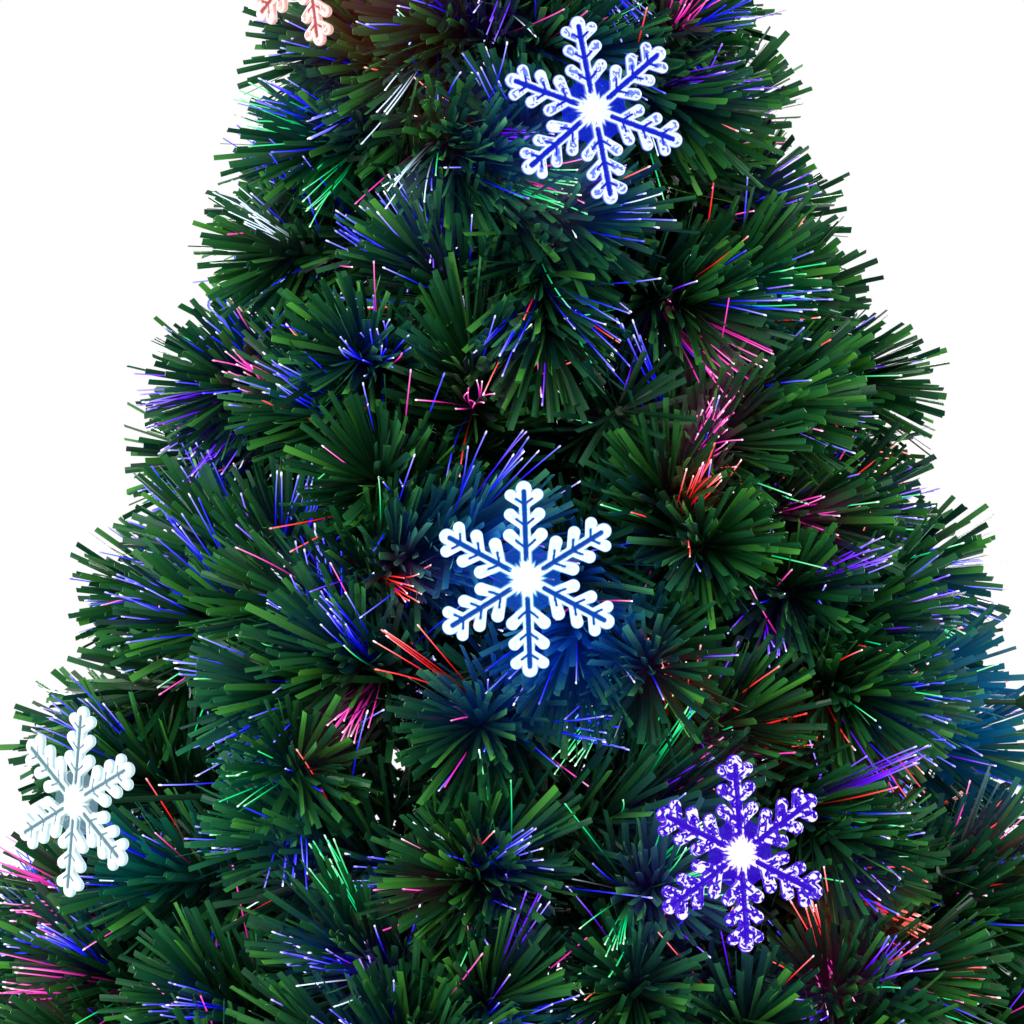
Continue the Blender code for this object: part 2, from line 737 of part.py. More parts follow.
def bough_length(tier):
    """The stem's length, so that the whorl at its tip reaches the tree's outer cone."""
    forward = STRAND_LENGTH[tier] * math.cos(math.radians(min(STRAND_ANGLES)))
    rise = math.radians(STEM_RISE)
    reach = tree_radius(COLLAR_Z[tier]) - TRUNK_RADIUS - CLEARANCE - forward
    return reach / (math.cos(rise) + SLOPE_SHARE * math.sin(rise))


def bough_mesh(tier):
    length = bough_length(tier)
    path = stem_path(length)
    strand = STRAND_LENGTH[tier]
    name = f"bough_shape_{tier + 1}"
    stem = add_object(name, rod_with_whorl(name, path, STEM_RADIUS, strand), NEEDLE_GREEN, CUTTERS)
    as_cutter(stem)
    for index, shares in enumerate(TWIG_SHARES[tier]):
        twig_name = f"twig_{tier + 1}_{index + 1}"
        mesh = rod_with_whorl(twig_name, twig_path(path, length, shares), TWIG_RADIUS, strand)
        twig = add_object(twig_name, mesh, NEEDLE_GREEN, CUTTERS)
        boolean(stem, as_cutter(twig), "UNION")
    return evaluated_mesh(stem, name)


def boughs(tier):
    mesh = bough_mesh(tier)
    for index, azimuth in enumerate(bough_azimuths(tier)):
        bough = bpy.data.objects.new(f"bough_{tier + 1}_{index + 1}", mesh)
        PARTS.objects.link(bough)
        direction = outward(azimuth)
        bough.rotation_euler.z = math.radians(azimuth - 90)
        bough.location = direction * (TRUNK_RADIUS + CLEARANCE) + Vector((0, 0, COLLAR_Z[tier]))


def top_sprig():
    """A plug in the trunk's top, and a stem above it with whorls of strands."""
    plug = inner_radius(TRUNK_BORE, TRUNK_STEPS)
    up = Vector((0, 0, 1))
    rim = up * TRUNK_TOP
    stations = [(rim - up * SPRIG_PLUG, plug), (rim, plug), (rim + up * SPRIG_NECK, STEM_RADIUS)]
    whorls = []
    for share, strand_length in zip(SPRIG_WHORL_SHARES, SPRIG_STRAND_LENGTH):
        start = up * (TRUNK_TOP + share * SPRIG_HEIGHT)
        end = start + up * WHORL_LENGTH
        stations += [(start, WHORL_RADIUS), (end, WHORL_RADIUS)]
        whorls.append((start, end, strand_length))
    stations.append((up * TREE_HEIGHT, TWIG_RADIUS))
    mesh = rod_mesh("top_sprig", stations)
    add_whorls(mesh, whorls)
    add_object("top_sprig", mesh, NEEDLE_GREEN)


# Snowflakes


def flake_back(z):
    """How far from the trunk's axis the back of a snowflake is, at a height."""
    return tree_radius(z) + FLAKE_PROUD


def facing(azimuth, spin):
    """Turns a piece's Z outward and its Y up, then spins it about the outward axis."""
    direction = outward(azimuth)
    across = Vector((0, 0, 1)).cross(direction)
    turn = Matrix((across, (0, 0, 1), direction)).transposed()
    return (turn @ Matrix.Rotation(math.radians(spin), 3, "Z")).to_euler()


def flake_outline():
    points = []
    for arm in range(ARM_COUNT):
        heading = math.tau * arm / ARM_COUNT
        along = Vector((math.sin(heading), math.cos(heading), 0))
        across = Vector((along.y, -along.x, 0))
        left = [(reach, -side) for reach, side in ARM_SHARES]
        right = [(reach, side) for reach, side in reversed(ARM_SHARES)]
        for reach, side in [*left, (1, 0), *right]:
            points.append((along * reach + across * side) * FLAKE_RADIUS)
    return points


def hub_hole():
    radius = clear_radius(LED_RADIUS, FINE_STEPS)
    turns = [math.tau * i / FINE_STEPS for i in range(FINE_STEPS)]
    return [Vector((radius * math.cos(t), radius * math.sin(t), 0)) for t in turns]


def snowflake(number, z, azimuth, spin):
    name = f"snowflake_{number:02d}"
    curve = bpy.data.curves.new(name, "CURVE")
    curve.dimensions = "2D"
    curve.fill_mode = "BOTH"
    curve.extrude = FLAKE_THICKNESS / 2
    for outline in (flake_outline(), hub_hole()):
        spline = curve.splines.new("POLY")
        spline.use_cyclic_u = True
        spline.points.add(len(outline) - 1)
        for point, place in zip(spline.points, outline):
            point.co = (*place, 1)
    flake = add_object(name, curve, CLEAR_ACRYLIC)
    flake.rotation_euler = facing(azimuth, spin)
    reach = flake_back(z) + FLAKE_THICKNESS / 2
    flake.location = outward(azimuth) * reach + Vector((0, 0, z))


def led_lamp(number, z, azimuth):
    """A stem from the trunk with a holder and the light that the snowflake turns on, along its Z."""
    root = TRUNK_RADIUS - STEM_IN_TRUNK
    grommet = TRUNK_RADIUS + CLEARANCE
    seat = flake_back(z) - CLEARANCE
    holder = seat - HOLDER_LENGTH
    neck_end = seat + CLEARANCE + FLAKE_THICKNESS
    dome = arc(0, neck_end, LED_RADIUS, 0, 90, LED_POINTS)
    profile = [(x, y + LED_PROUD - LED_RADIUS) for x, y in reversed(dome)]
    profile[0] = (0, profile[0][1])
    profile += [
        (LED_RADIUS, seat),
        (HOLDER_RIM_RADIUS, seat),
        (HOLDER_RIM_RADIUS, seat - HOLDER_RIM),
        (HOLDER_RADIUS, seat - HOLDER_RIM),
        (LED_STEM_RADIUS, holder),
        (LED_STEM_RADIUS, grommet + GROMMET_LENGTH),
        (GROMMET_RADIUS, grommet + GROMMET_LENGTH),
        (GROMMET_RADIUS, grommet),
        (LED_STEM_RADIUS, grommet),
        (LED_STEM_RADIUS, root),
        (0, root),
    ]
    lamp = turned(f"led_lamp_{number:02d}", profile, LED_STEPS, LED_PLASTIC)
    lamp.rotation_euler = facing(azimuth, 0)
    lamp.location = (0, 0, z)


def build_base():
    base_housing()
    base_plate()
    feet()
    trunk_socket()
    lamp_module()
    lamp_lens()
    colour_wheel()
    wheel_motor()
    driver_board()
    mode_switch()
    mode_button()
    power_inlet()


def build_tree():
    trunk()
    fibre_bundle()
    fibre_ferrule()
    for tier in range(len(COLLAR_Z)):
        bough_collar(tier)
        boughs(tier)
    top_sprig()
    for number, (z, azimuth, spin) in enumerate(FLAKE_PLACES, 1):
        snowflake(number, z, azimuth, spin)
        led_lamp(number, z, azimuth)


build_base()
build_tree()
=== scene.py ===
# %% [markdown]
# A fibre-optic Christmas tree is a drum with a lamp in it, a hollow trunk, and wire boughs that
# are wrapped in green plastic strips. Clear fibres run up the trunk and out along the boughs,
# and snowflakes with a lamp behind each hub stand out from the trunk between the tufts.
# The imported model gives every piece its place. This lesson dresses it, a step at a time.

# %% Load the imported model
import json
import math

import bmesh
import bpy
import numpy as np
from mathutils import Matrix, Vector


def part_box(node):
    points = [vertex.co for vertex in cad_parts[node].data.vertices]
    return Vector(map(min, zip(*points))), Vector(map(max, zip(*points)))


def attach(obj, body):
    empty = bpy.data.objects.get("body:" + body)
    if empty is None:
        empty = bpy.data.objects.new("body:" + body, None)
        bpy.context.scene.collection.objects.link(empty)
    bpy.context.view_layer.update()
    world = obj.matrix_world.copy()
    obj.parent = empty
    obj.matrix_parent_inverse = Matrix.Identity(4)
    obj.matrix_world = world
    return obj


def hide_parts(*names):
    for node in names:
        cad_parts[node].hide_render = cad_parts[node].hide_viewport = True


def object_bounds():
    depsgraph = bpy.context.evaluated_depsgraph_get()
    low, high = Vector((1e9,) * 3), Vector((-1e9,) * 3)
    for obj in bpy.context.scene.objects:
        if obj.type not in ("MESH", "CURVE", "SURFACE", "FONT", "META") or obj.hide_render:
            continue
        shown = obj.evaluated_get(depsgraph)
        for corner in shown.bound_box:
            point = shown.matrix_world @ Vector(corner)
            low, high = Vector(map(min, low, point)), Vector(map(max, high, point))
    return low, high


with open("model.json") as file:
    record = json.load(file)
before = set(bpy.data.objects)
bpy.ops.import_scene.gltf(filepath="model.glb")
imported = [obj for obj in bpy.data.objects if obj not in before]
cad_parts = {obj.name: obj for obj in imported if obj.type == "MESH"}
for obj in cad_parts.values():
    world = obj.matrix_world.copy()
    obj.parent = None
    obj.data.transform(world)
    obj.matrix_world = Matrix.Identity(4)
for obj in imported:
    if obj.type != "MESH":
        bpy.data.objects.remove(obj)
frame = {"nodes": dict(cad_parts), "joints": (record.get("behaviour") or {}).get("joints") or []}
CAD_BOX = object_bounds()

MM = 0.001
print("packed model:", [[round(v, 3) for v in corner] for corner in CAD_BOX])


def new_object(name, data):
    """Makes an object from its data and puts it in the scene."""
    made = bpy.data.objects.new(name, data)
    bpy.context.scene.collection.objects.link(made)
    return made


# %% [markdown]
# The photograph is a close-up of the middle of the tree, taken level and from the front.
# A long lens, far away, keeps the verticals straight and the depth shallow, as the picture does.
# The frame is 0.532 m wide at the trunk, and the trunk stands a little right of its middle.

# %% Camera
VIEW_WIDTH = 532 * MM
VIEW_DISTANCE = 3.0
VIEW_HEIGHT = 805 * MM
SENSOR = 36.0
PICTURE_PIXELS = 1024
TRUNK_PIXEL = 517
PIXEL = VIEW_WIDTH / PICTURE_PIXELS
VIEW_X = (PICTURE_PIXELS / 2 - TRUNK_PIXEL) * PIXEL

camera = new_object("camera", bpy.data.cameras.new("camera"))
camera.location = (VIEW_X, -VIEW_DISTANCE, VIEW_HEIGHT)
camera.rotation_euler = (math.radians(90), 0, 0)
camera.data.sensor_width = SENSOR
camera.data.lens = SENSOR * VIEW_DISTANCE / VIEW_WIDTH
bpy.context.scene.camera = camera
bpy.context.scene.view_settings.view_transform = "Standard"
print("lens", round(camera.data.lens, 1), "mm")

# %% [markdown]
# The studio is white. A world that is white only for what the camera, a gloss or a clear
# plastic sees keeps the backdrop bright while the light on the tree stays soft and plain.
# A broad lamp in front and above gives the needles their sheen, and three at the sides and
# behind light the tips at the edges, as the white wall does in the picture.


# %% A socket that takes part in sums
class Socket:
    """An output of a shader node, so that 1 - mask * 0.5 adds its nodes by itself."""

    def __init__(self, tree, output=None):
        self.tree = tree
        self.output = output

    def node(self, kind, settings=None, inputs=None, result=0):
        """Adds any node: its settings first, then its inputs, and gives one output."""
        made = self.tree.nodes.new(kind)
        for name, value in (settings or {}).items():
            if name == "stops":
                set_stops(made.color_ramp, value)
            else:
                setattr(made, name, value)
        for name, value in (inputs or {}).items():
            self.plug(value, made.inputs[name])
        return Socket(self.tree, made.outputs[result])

    def plug(self, value, target):
        if isinstance(value, Socket):
            self.tree.links.new(value.output, target)
        elif target.type == "RGBA":
            target.default_value = (*value, 1) if len(value) == 3 else value
        else:
            target.default_value = value

    def sum(self, operation, first, second):
        """A Math node on numbers, or a Vector Math node where one of the two is a colour."""
        pair = (first, second)
        vector = any(is_colour(value) for value in pair)
        kind = "ShaderNodeVectorMath" if vector else "ShaderNodeMath"
        made = self.tree.nodes.new(kind)
        made.operation = operation
        for value, target in zip(pair, made.inputs):
            if vector and isinstance(value, (int, float)):
                value = (value, value, value)
            self.plug(value, target)
        return Socket(self.tree, made.outputs[0])

    def __add__(self, other):
        return self.sum("ADD", self, other)

    __radd__ = __add__

    def __sub__(self, other):
        return self.sum("SUBTRACT", self, other)

    def __rsub__(self, other):
        return self.sum("SUBTRACT", other, self)

    def __mul__(self, other):
        return self.sum("MULTIPLY", self, other)

    __rmul__ = __mul__

    def mix(self, first, second):
        """First where this value is 0, second where it is 1."""
        settings = {"data_type": "RGBA", "clamp_factor": True}
        inputs = {"Factor": self, 6: first, 7: second}
        return self.node("ShaderNodeMix", settings, inputs, 2)


def is_colour(value):
    if isinstance(value, Socket):
        return value.output.type in ("RGBA", "VECTOR")
    return not isinstance(value, (int, float))


def set_stops(ramp, stops):
    """Places a ramp's stops from (position, colour) pairs."""
    while len(ramp.elements) < len(stops):
        ramp.elements.new(1.0)
    for element, (position, colour) in zip(ramp.elements, stops):
        element.position = position
        element.color = (*colour, 1)


# %% Materials start from one function
def new_finish(name, roughness=0.5, metallic=0.0, constants=None):
    """A material with its shader, and a socket to start sums from."""
    material = bpy.data.materials.new(name)
    material.use_nodes = True
    material.cycles.emission_sampling = "NONE"
    shader = material.node_tree.nodes["Principled BSDF"]
    start = Socket(material.node_tree)
    start.plug(roughness, shader.inputs["Roughness"])
    start.plug(metallic, shader.inputs["Metallic"])
    for key, value in (constants or {}).items():
        start.plug(value, shader.inputs[key])
    return material, shader, start


def point_value(start, name, result="Fac"):
    """What a mesh stores at its points under this name."""
    return start.node("ShaderNodeAttribute", {"attribute_name": name}, {}, result)


def object_noise(start, scale, detail=3.0, distortion=0.0):
    """Noise that is fixed to the object, with its scale in features a metre."""
    place = start.node("ShaderNodeTexCoord", result="Object")
    inputs = {"Vector": place, "Scale": scale, "Detail": detail, "Distortion": distortion}
    return start.node("ShaderNodeTexNoise", {}, inputs, "Fac")


def ramp(start, factor, stops):
    return start.node("ShaderNodeValToRGB", {"stops": stops}, {"Fac": factor}, "Color")


def ramp_value(start, factor, low, high):
    """A value that rises from 0 to 1 between two levels of a factor."""
    settings = {"clamp": True, "interpolation_type": "SMOOTHSTEP"}
    inputs = {"Value": factor, "From Min": low, "From Max": high}
    return start.node("ShaderNodeMapRange", settings, inputs)


def bumped(start, shader, height, strength, distance):
    inputs = {"Height": height, "Strength": strength, "Distance": distance}
    start.plug(start.node("ShaderNodeBump", {}, inputs), shader.inputs["Normal"])


# %% World
SKY_LIGHT = (0.46, 0.48, 0.5)

world = bpy.data.worlds.new("studio")
world.use_nodes = True
bpy.context.scene.world = world
sky = Socket(world.node_tree)
seen = sky.node("ShaderNodeLightPath", result="Is Camera Ray")
glossy = sky.node("ShaderNodeLightPath", result="Is Glossy Ray")
clear = sky.node("ShaderNodeLightPath", result="Is Transmission Ray")
shown = sky.sum("MAXIMUM", sky.sum("MAXIMUM", seen, glossy), clear)
backdrop = shown.mix(SKY_LIGHT, (1, 1, 1))
sky.plug(backdrop, world.node_tree.nodes["Background"].inputs["Color"])
print("world light", SKY_LIGHT)

# %% Lamps
LAMPS = (  # place, size, power in watts
    ("front_lamp", (-1.2, -2.8, 2.2), 1.4, 62),
    ("left_lamp", (-2.7, 0.7, 1.4), 1.2, 125),
    ("right_lamp", (2.6, 0.8, 1.6), 1.2, 100),
    ("back_lamp", (0.3, 2.8, 2.4), 1.6, 90),
)
TREE_MIDDLE = Vector((0, 0, 0.8))


def area_lamp(name, place, size, power):
    lamp = new_object(name, bpy.data.lights.new(name, "AREA"))
    lamp.data.shape = "DISK"
    lamp.data.size = size
    lamp.data.energy = power
    lamp.location = place
    lamp.rotation_euler = (TREE_MIDDLE - Vector(place)).to_track_quat("-Z", "Y").to_euler()


for row in LAMPS:
    area_lamp(*row)
print(len(LAMPS), "lamps")

# %% Floor
FLOOR_SIDE = 24.0
FLOOR_COLOUR = (0.86, 0.86, 0.86)
FLOOR_NEAR = 0.9
FLOOR_FAR = 3.6
FLOOR_FILL = 0.62

floor_mesh = bpy.data.meshes.new("floor")
edge = FLOOR_SIDE / 2
floor_mesh.from_pydata(
    [(-edge, -edge, 0), (edge, -edge, 0), (edge, edge, 0), (-edge, edge, 0)], [], [(0, 1, 2, 3)]
)
floor = new_object("floor", floor_mesh)


def floor_finish():
    """White paper. What the camera sees of it stays white far from the lamps, too."""
    paper = {"Base Color": FLOOR_COLOUR, "Emission Strength": 1.0}
    material, shader, start = new_finish("floor_paper", 0.9, constants=paper)
    place = start.node("ShaderNodeTexCoord", result="Object")
    away = start.node("ShaderNodeVectorMath", {"operation": "LENGTH"}, {"Vector": place}, "Value")
    far = ramp_value(start, away, FLOOR_NEAR, FLOOR_FAR)
    looked_at = start.node("ShaderNodeLightPath", result="Is Camera Ray")
    start.plug((looked_at * far * FLOOR_FILL).mix((0, 0, 0), (1, 1, 1)), shader.inputs["Emission Color"])
    return material


floor_mesh.materials.append(floor_finish())

# %% [markdown]
# Everything on the tree is many small copies of a few shapes: strips, tubes and turned pieces.
# Placing a hundred thousand strips one object at a time would be slow, so their corners are
# worked out as tables of numbers, gathered, and made into one mesh for each bough.


# %% Gather points and faces into a mesh
class Gather:
    """Collects points, faces and point values until they become one piece."""

    def __init__(self):
        self.count = 0
        self.points = []
        self.faces = []
        self.slots = []
        self.values = {}

    def add(self, points, faces, slot=0, **values):
        """Faces are tables of corners, and each value is a number or colour for each point."""
        for table in faces:
            self.faces += (table + self.count).tolist()
            self.slots.append(np.full(len(table), slot))
        for name, value in values.items():
            self.values.setdefault(name, []).append(value)
        self.points.append(points)
        self.count += len(points)

    def make(self, name, materials, smooth=False):
        mesh = bpy.data.meshes.new(name)
        mesh.from_pydata(np.concatenate(self.points), [], self.faces)
        mesh.polygons.foreach_set("material_index", np.concatenate(self.slots).astype(np.int32))
        if smooth:
            mesh.shade_smooth()
        else:
            mesh.shade_flat()
        for material in materials:
            mesh.materials.append(material)
        for key, parts in self.values.items():
            store(mesh, key, np.concatenate(parts))
        return new_object(name, mesh)


def store(mesh, name, values):
    """Keeps one number, or one colour, for each point of a mesh."""
    kind, field = ("FLOAT", "value") if values.ndim == 1 else ("FLOAT_COLOR", "color")
    layer = mesh.attributes.new(name, kind, "POINT")
    layer.data.foreach_set(field, values.astype(np.float32).ravel())


def mesh_points(mesh):
    """The places of a mesh's points, one row for each."""
    places = np.empty(len(mesh.vertices) * 3, np.float32)
    mesh.vertices.foreach_get("co", places)
    return places.reshape(-1, 3)


def unit(vectors):
    return vectors / np.linalg.norm(vectors, axis=-1, keepdims=True)


def across(axes):
    """Two unit vectors square to each axis and to each other."""
    guide = np.where(np.abs(axes[..., 2:3]) > 0.9, (1.0, 0.0, 0.0), (0.0, 0.0, 1.0))
    first = unit(np.cross(axes, guide))
    return first, np.cross(axes, first)


# %% Strips and tubes as tables of points
STRIP_STATIONS = np.array([0.0, 0.5, 1.0])
STRIP_WIDTHS = np.array([0.6, 1.0, 0.96])
NEEDLE_RIDGE = 0.35 * MM


def strips(roots, headings, lengths, widths, sides, bends):
    """Many flat needles at once, each a bent strip of three sides with blunt ends."""
    reach = lengths[:, None] * STRIP_STATIONS
    middles = roots[:, None] + headings[:, None] * reach[..., None]
    middles = middles + bends[:, None] * (STRIP_STATIONS**2)[None, :, None]
    halves = sides[:, None] * (widths[:, None] * STRIP_WIDTHS)[..., None] / 2
    ridges = np.cross(headings, sides)[:, None] * NEEDLE_RIDGE
    corners = np.stack([middles - halves, middles + halves, middles + ridges], axis=2)
    return corners.reshape(-1, 3), rod_faces(len(roots), len(STRIP_STATIONS), 3)


def tubes(paths, radii, sides):
    """Many tubes at once: paths are (tube, station, xyz) and radii (tube, station)."""
    first, second = across(unit(paths[:, -1] - paths[:, 0]))
    turns = np.arange(sides) * math.tau / sides
    ring = first[:, None] * np.cos(turns)[None, :, None] + second[:, None] * np.sin(turns)[None, :, None]
    corners = paths[:, :, None] + ring[:, None] * radii[:, :, None, None]
    return corners.reshape(-1, 3), rod_faces(len(paths), paths.shape[1], sides)


def rod_faces(count, stations, sides):
    """Side faces and two caps for rods whose corners run round, then along, then rod by rod."""
    start = (np.arange(count) * stations * sides)[:, None, None]
    ring = (np.arange(stations - 1) * sides)[None, :, None]
    corner = np.arange(sides)[None, None, :]
    following = (corner + 1) % sides
    low = start + ring
    quads = np.stack([low + corner, low + following, low + sides + following, low + sides + corner], -1)
    rim = np.arange(sides)[None]
    first = start[:, 0]
    last = first + (stations - 1) * sides
    return [quads.reshape(-1, 4), first + rim[:, ::-1], last + rim]


# %% Turned pieces
SHARP_ANGLE = math.radians(35)


def turned(name, profile, steps=64, closed=False):
    """A profile of (radius, height) points, turned about Z, with smooth round faces."""
    shape = bmesh.new()
    corners = [shape.verts.new((radius, 0, height)) for radius, height in profile]
    pairs = list(zip(corners, corners[1:]))
    if closed:
        pairs.append((corners[-1], corners[0]))
    edges = [shape.edges.new(pair) for pair in pairs]
    bmesh.ops.spin(
        shape, geom=corners + edges, cent=(0, 0, 0), axis=(0, 0, 1), angle=math.tau, steps=steps
    )
    bmesh.ops.remove_doubles(shape, verts=shape.verts, dist=0.001 * MM)
    bmesh.ops.recalc_face_normals(shape, faces=shape.faces)
    return finished(name, shape)


def finished(name, shape):
    """Turns a bmesh into an object with soft curves and crisp edges."""
    mesh = bpy.data.meshes.new(name)
    shape.to_mesh(mesh)
    shape.free()
    mesh.shade_smooth()
    mesh.set_sharp_from_angle(angle=SHARP_ANGLE)
    return new_object(name, mesh)


def arc(centre_x, centre_z, radius, start, end, count=8):
    """Points of a profile's round stretch, with angles in degrees from +X towards +Z."""
    turns = np.radians(np.linspace(start, end, count))
    return [(centre_x + radius * math.cos(t), centre_z + radius * math.sin(t)) for t in turns]


def outward(azimuth):
    """Level unit vector away from the trunk, with the azimuth in degrees from the front."""
    turn = np.radians(azimuth)
    return np.stack([np.sin(turn), -np.cos(turn), np.zeros_like(turn)], axis=-1)


def dress(piece, material, body, slot, *nodes):
    """Gives a piece its finish and its body, and hides the nodes that it stands for; the slot is not used.
    """
    if material is not None:
        piece.data.materials.append(material)
    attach(piece, body)
    if nodes:
        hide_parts(*nodes)
    return piece


# %% [markdown]
# The stand is a moulded drum in satin dark green, with a steel bottom and rubber feet.
# A moulding shows fine grain, a softened shoulder and a parting groove. The drum is turned from
# one profile at full smoothness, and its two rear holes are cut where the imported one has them.

# %% Plain moulded and metal finishes
GRAIN_SCALE = 900.0
SCUFF_SCALE = 22.0


def moulded(name, colour, roughness=0.45, grain=0.25):
    """A satin moulding: fine grain, and a little wear that makes it paler and duller."""
    material, shader, start = new_finish(name, constants={"Specular IOR Level": 0.2})
    wear = object_noise(start, SCUFF_SCALE, 6.0)
    pale = tuple(min(1.0, 1.5 * c + 0.01) for c in colour)
    start.plug((wear - 0.35).mix(colour, pale), shader.inputs["Base Color"])
    start.plug(wear * 0.25 + (roughness - 0.12), shader.inputs["Roughness"])
    bumped(start, shader, object_noise(start, GRAIN_SCALE), grain, 0.1 * MM)
    return material


def metal(name, colour, roughness=0.3, metallic=1.0):
    """A metal or metal paint with faint streaks and finger marks."""
    shine = {"Specular IOR Level": 0.2 + 0.3 * metallic}
    material, shader, start = new_finish(name, metallic=metallic, constants=shine)
    marks = object_noise(start, 40.0, 5.0, 1.0)
    dull = tuple(0.8 * c for c in colour)
    start.plug(marks.mix(colour, dull), shader.inputs["Base Color"])
    start.plug(marks * 0.2 + (roughness - 0.08), shader.inputs["Roughness"])
    return material


BASE_FINISH = moulded("base_green_plastic", (0.012, 0.05, 0.022))
SOCKET_FINISH = moulded("socket_green_plastic", (0.014, 0.06, 0.026), 0.4)
COLLAR_FINISH = moulded("collar_green_plastic", (0.012, 0.045, 0.02), 0.5)
BLACK_FINISH = moulded("black_plastic", (0.02, 0.02, 0.02), 0.4)
BUTTON_FINISH = moulded("button_plastic", (0.6, 0.6, 0.57), 0.35)
RUBBER_FINISH = moulded("foot_rubber", (0.015, 0.015, 0.015), 0.85, 0.5)
TRUNK_FINISH = metal("trunk_green_paint", (0.012, 0.05, 0.02), 0.42, 0.0)
PLATE_FINISH = metal("plate_black_paint", (0.02, 0.02, 0.02), 0.5, 0.0)
MOTOR_FINISH = metal("motor_steel", (0.5, 0.51, 0.52), 0.32)
SINK_FINISH = metal("heat_sink_aluminium", (0.62, 0.63, 0.64), 0.38)
BRASS_FINISH = metal("ferrule_brass", (0.72, 0.5, 0.2), 0.3)
print("plain finishes ready")


# %% Finishes for what is inside the drum
def lens_finish():
    """Clear glass with the lamp's warm light behind it."""
    glass = {"Alpha": 0.5, "Base Color": (0.85, 0.92, 1.0)}
    light = {"Emission Color": (1.0, 0.97, 0.9), "Emission Strength": 0.6}
    return new_finish("lens_glass", 0.05, constants={**glass, **light})[0]


def filter_finish():
    """Coloured sectors that run round the wheel's own axis."""
    material, shader, start = new_finish("wheel_film", 0.2, constants={"Coat Weight": 0.3})
    low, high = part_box("colour_wheel")
    middle = (low + high) / 2
    place = start.node("ShaderNodeTexCoord", result="Object") - tuple(middle)
    right = start.node("ShaderNodeSeparateXYZ", {}, {"Vector": place}, "X")
    back = start.node("ShaderNodeSeparateXYZ", {}, {"Vector": place}, "Y")
    turn = start.sum("ARCTAN2", back, right) * (1 / math.tau) + 0.5
    stops = ((0.0, (0.8, 0.03, 0.02)), (0.2, (0.9, 0.45, 0.02)), (0.4, (0.04, 0.6, 0.08)),
             (0.6, (0.02, 0.1, 0.85)), (0.8, (0.5, 0.03, 0.7)))
    colours = start.node("ShaderNodeValToRGB", {"stops": stops}, {"Fac": turn}, "Color")
    colours.output.node.color_ramp.interpolation = "CONSTANT"
    start.plug(colours, shader.inputs["Base Color"])
    return material


def board_finish():
    """Green solder mask with paler copper runs under it."""
    material, shader, start = new_finish("board_green", 0.35)
    place = start.node("ShaderNodeTexCoord", result="Object")
    settings = {"feature": "F1", "distance": "MANHATTAN"}
    cells = start.node("ShaderNodeTexVoronoi", settings, {"Vector": place, "Scale": 160.0}, "Distance")
    mask, run = (0.005, 0.12, 0.04), (0.01, 0.22, 0.08)
    colour = ramp(start, cells, ((0.35, mask), (0.4, run), (0.5, mask)))
    start.plug(colour, shader.inputs["Base Color"])
    return material


def bundle_finish():
    """Bare fibres side by side, a little brighter along each one."""
    material, shader, start = new_finish("bundle_fibres", 0.15, constants={"Coat Weight": 0.3})
    place = start.node("ShaderNodeTexCoord", result="Object") * (1.0, 1.0, 0.02)
    streaks = start.node("ShaderNodeTexNoise", {}, {"Vector": place, "Scale": 1500.0, "Detail": 2.0}, "Fac")
    start.plug(streaks.mix((0.4, 0.45, 0.5), (0.8, 0.85, 0.9)), shader.inputs["Base Color"])
    return material


def repaint(node, material):
    """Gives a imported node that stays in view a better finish."""
    mesh = frame["nodes"][node].data
    mesh.materials.clear()
    mesh.materials.append(material)


INNER_FINISHES = {
    "base_plate": PLATE_FINISH, "lamp_module": SINK_FINISH, "lamp_lens": lens_finish(),
    "colour_wheel": filter_finish(), "wheel_motor": MOTOR_FINISH, "driver_board": board_finish(),
    "mode_switch": BLACK_FINISH, "fibre_bundle": bundle_finish(), "fibre_ferrule": BRASS_FINISH,
    "power_inlet": BLACK_FINISH,
}
for node, material in INNER_FINISHES.items():
    repaint(node, material)
print(len(INNER_FINISHES), "packed nodes repainted")

# %% The drum
SHOULDER = 16 * MM
GROOVE_DEPTH = 0.6 * MM
GROOVE_HALF = 0.8 * MM
WALL = 2.5 * MM
HOLE_RADIUS = 5.9 * MM
HOLE_DEPTH = 14 * MM
RING_INSET = 14 * MM
HOLE_BAND = 9 * MM

drum_low, drum_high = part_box("base_housing")
DRUM_RADIUS = drum_high.x
DRUM_TOP = drum_high.z
socket_low, socket_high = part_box("trunk_socket")
RING_RADIUS = socket_high.x - RING_INSET
button_low, button_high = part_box("mode_button")
HOLE_HEIGHT = (button_low.z + button_high.z) / 2


def drum_profile():
    groove = drum_low.z + 0.72 * (DRUM_TOP - drum_low.z)
    shoulder = DRUM_RADIUS - SHOULDER
    wall = DRUM_RADIUS - WALL
    outer = [(RING_RADIUS, DRUM_TOP)]
    outer += reversed(arc(shoulder, DRUM_TOP - SHOULDER, SHOULDER, 0, 90, 12))
    outer += [(DRUM_RADIUS, groove + GROOVE_HALF), (DRUM_RADIUS - GROOVE_DEPTH, groove + GROOVE_HALF / 2)]
    outer += [(DRUM_RADIUS - GROOVE_DEPTH, groove - GROOVE_HALF / 2), (DRUM_RADIUS, groove - GROOVE_HALF)]
    outer += [(DRUM_RADIUS, HOLE_HEIGHT + HOLE_BAND), (DRUM_RADIUS, HOLE_HEIGHT - HOLE_BAND)]
    outer += reversed(arc(DRUM_RADIUS - MM, drum_low.z + MM, MM, -90, 0, 4))
    inner = [(wall, drum_low.z)]
    inner += arc(shoulder, DRUM_TOP - SHOULDER, SHOULDER - WALL, 0, 90, 12)
    return outer + inner + [(RING_RADIUS, DRUM_TOP - WALL)]


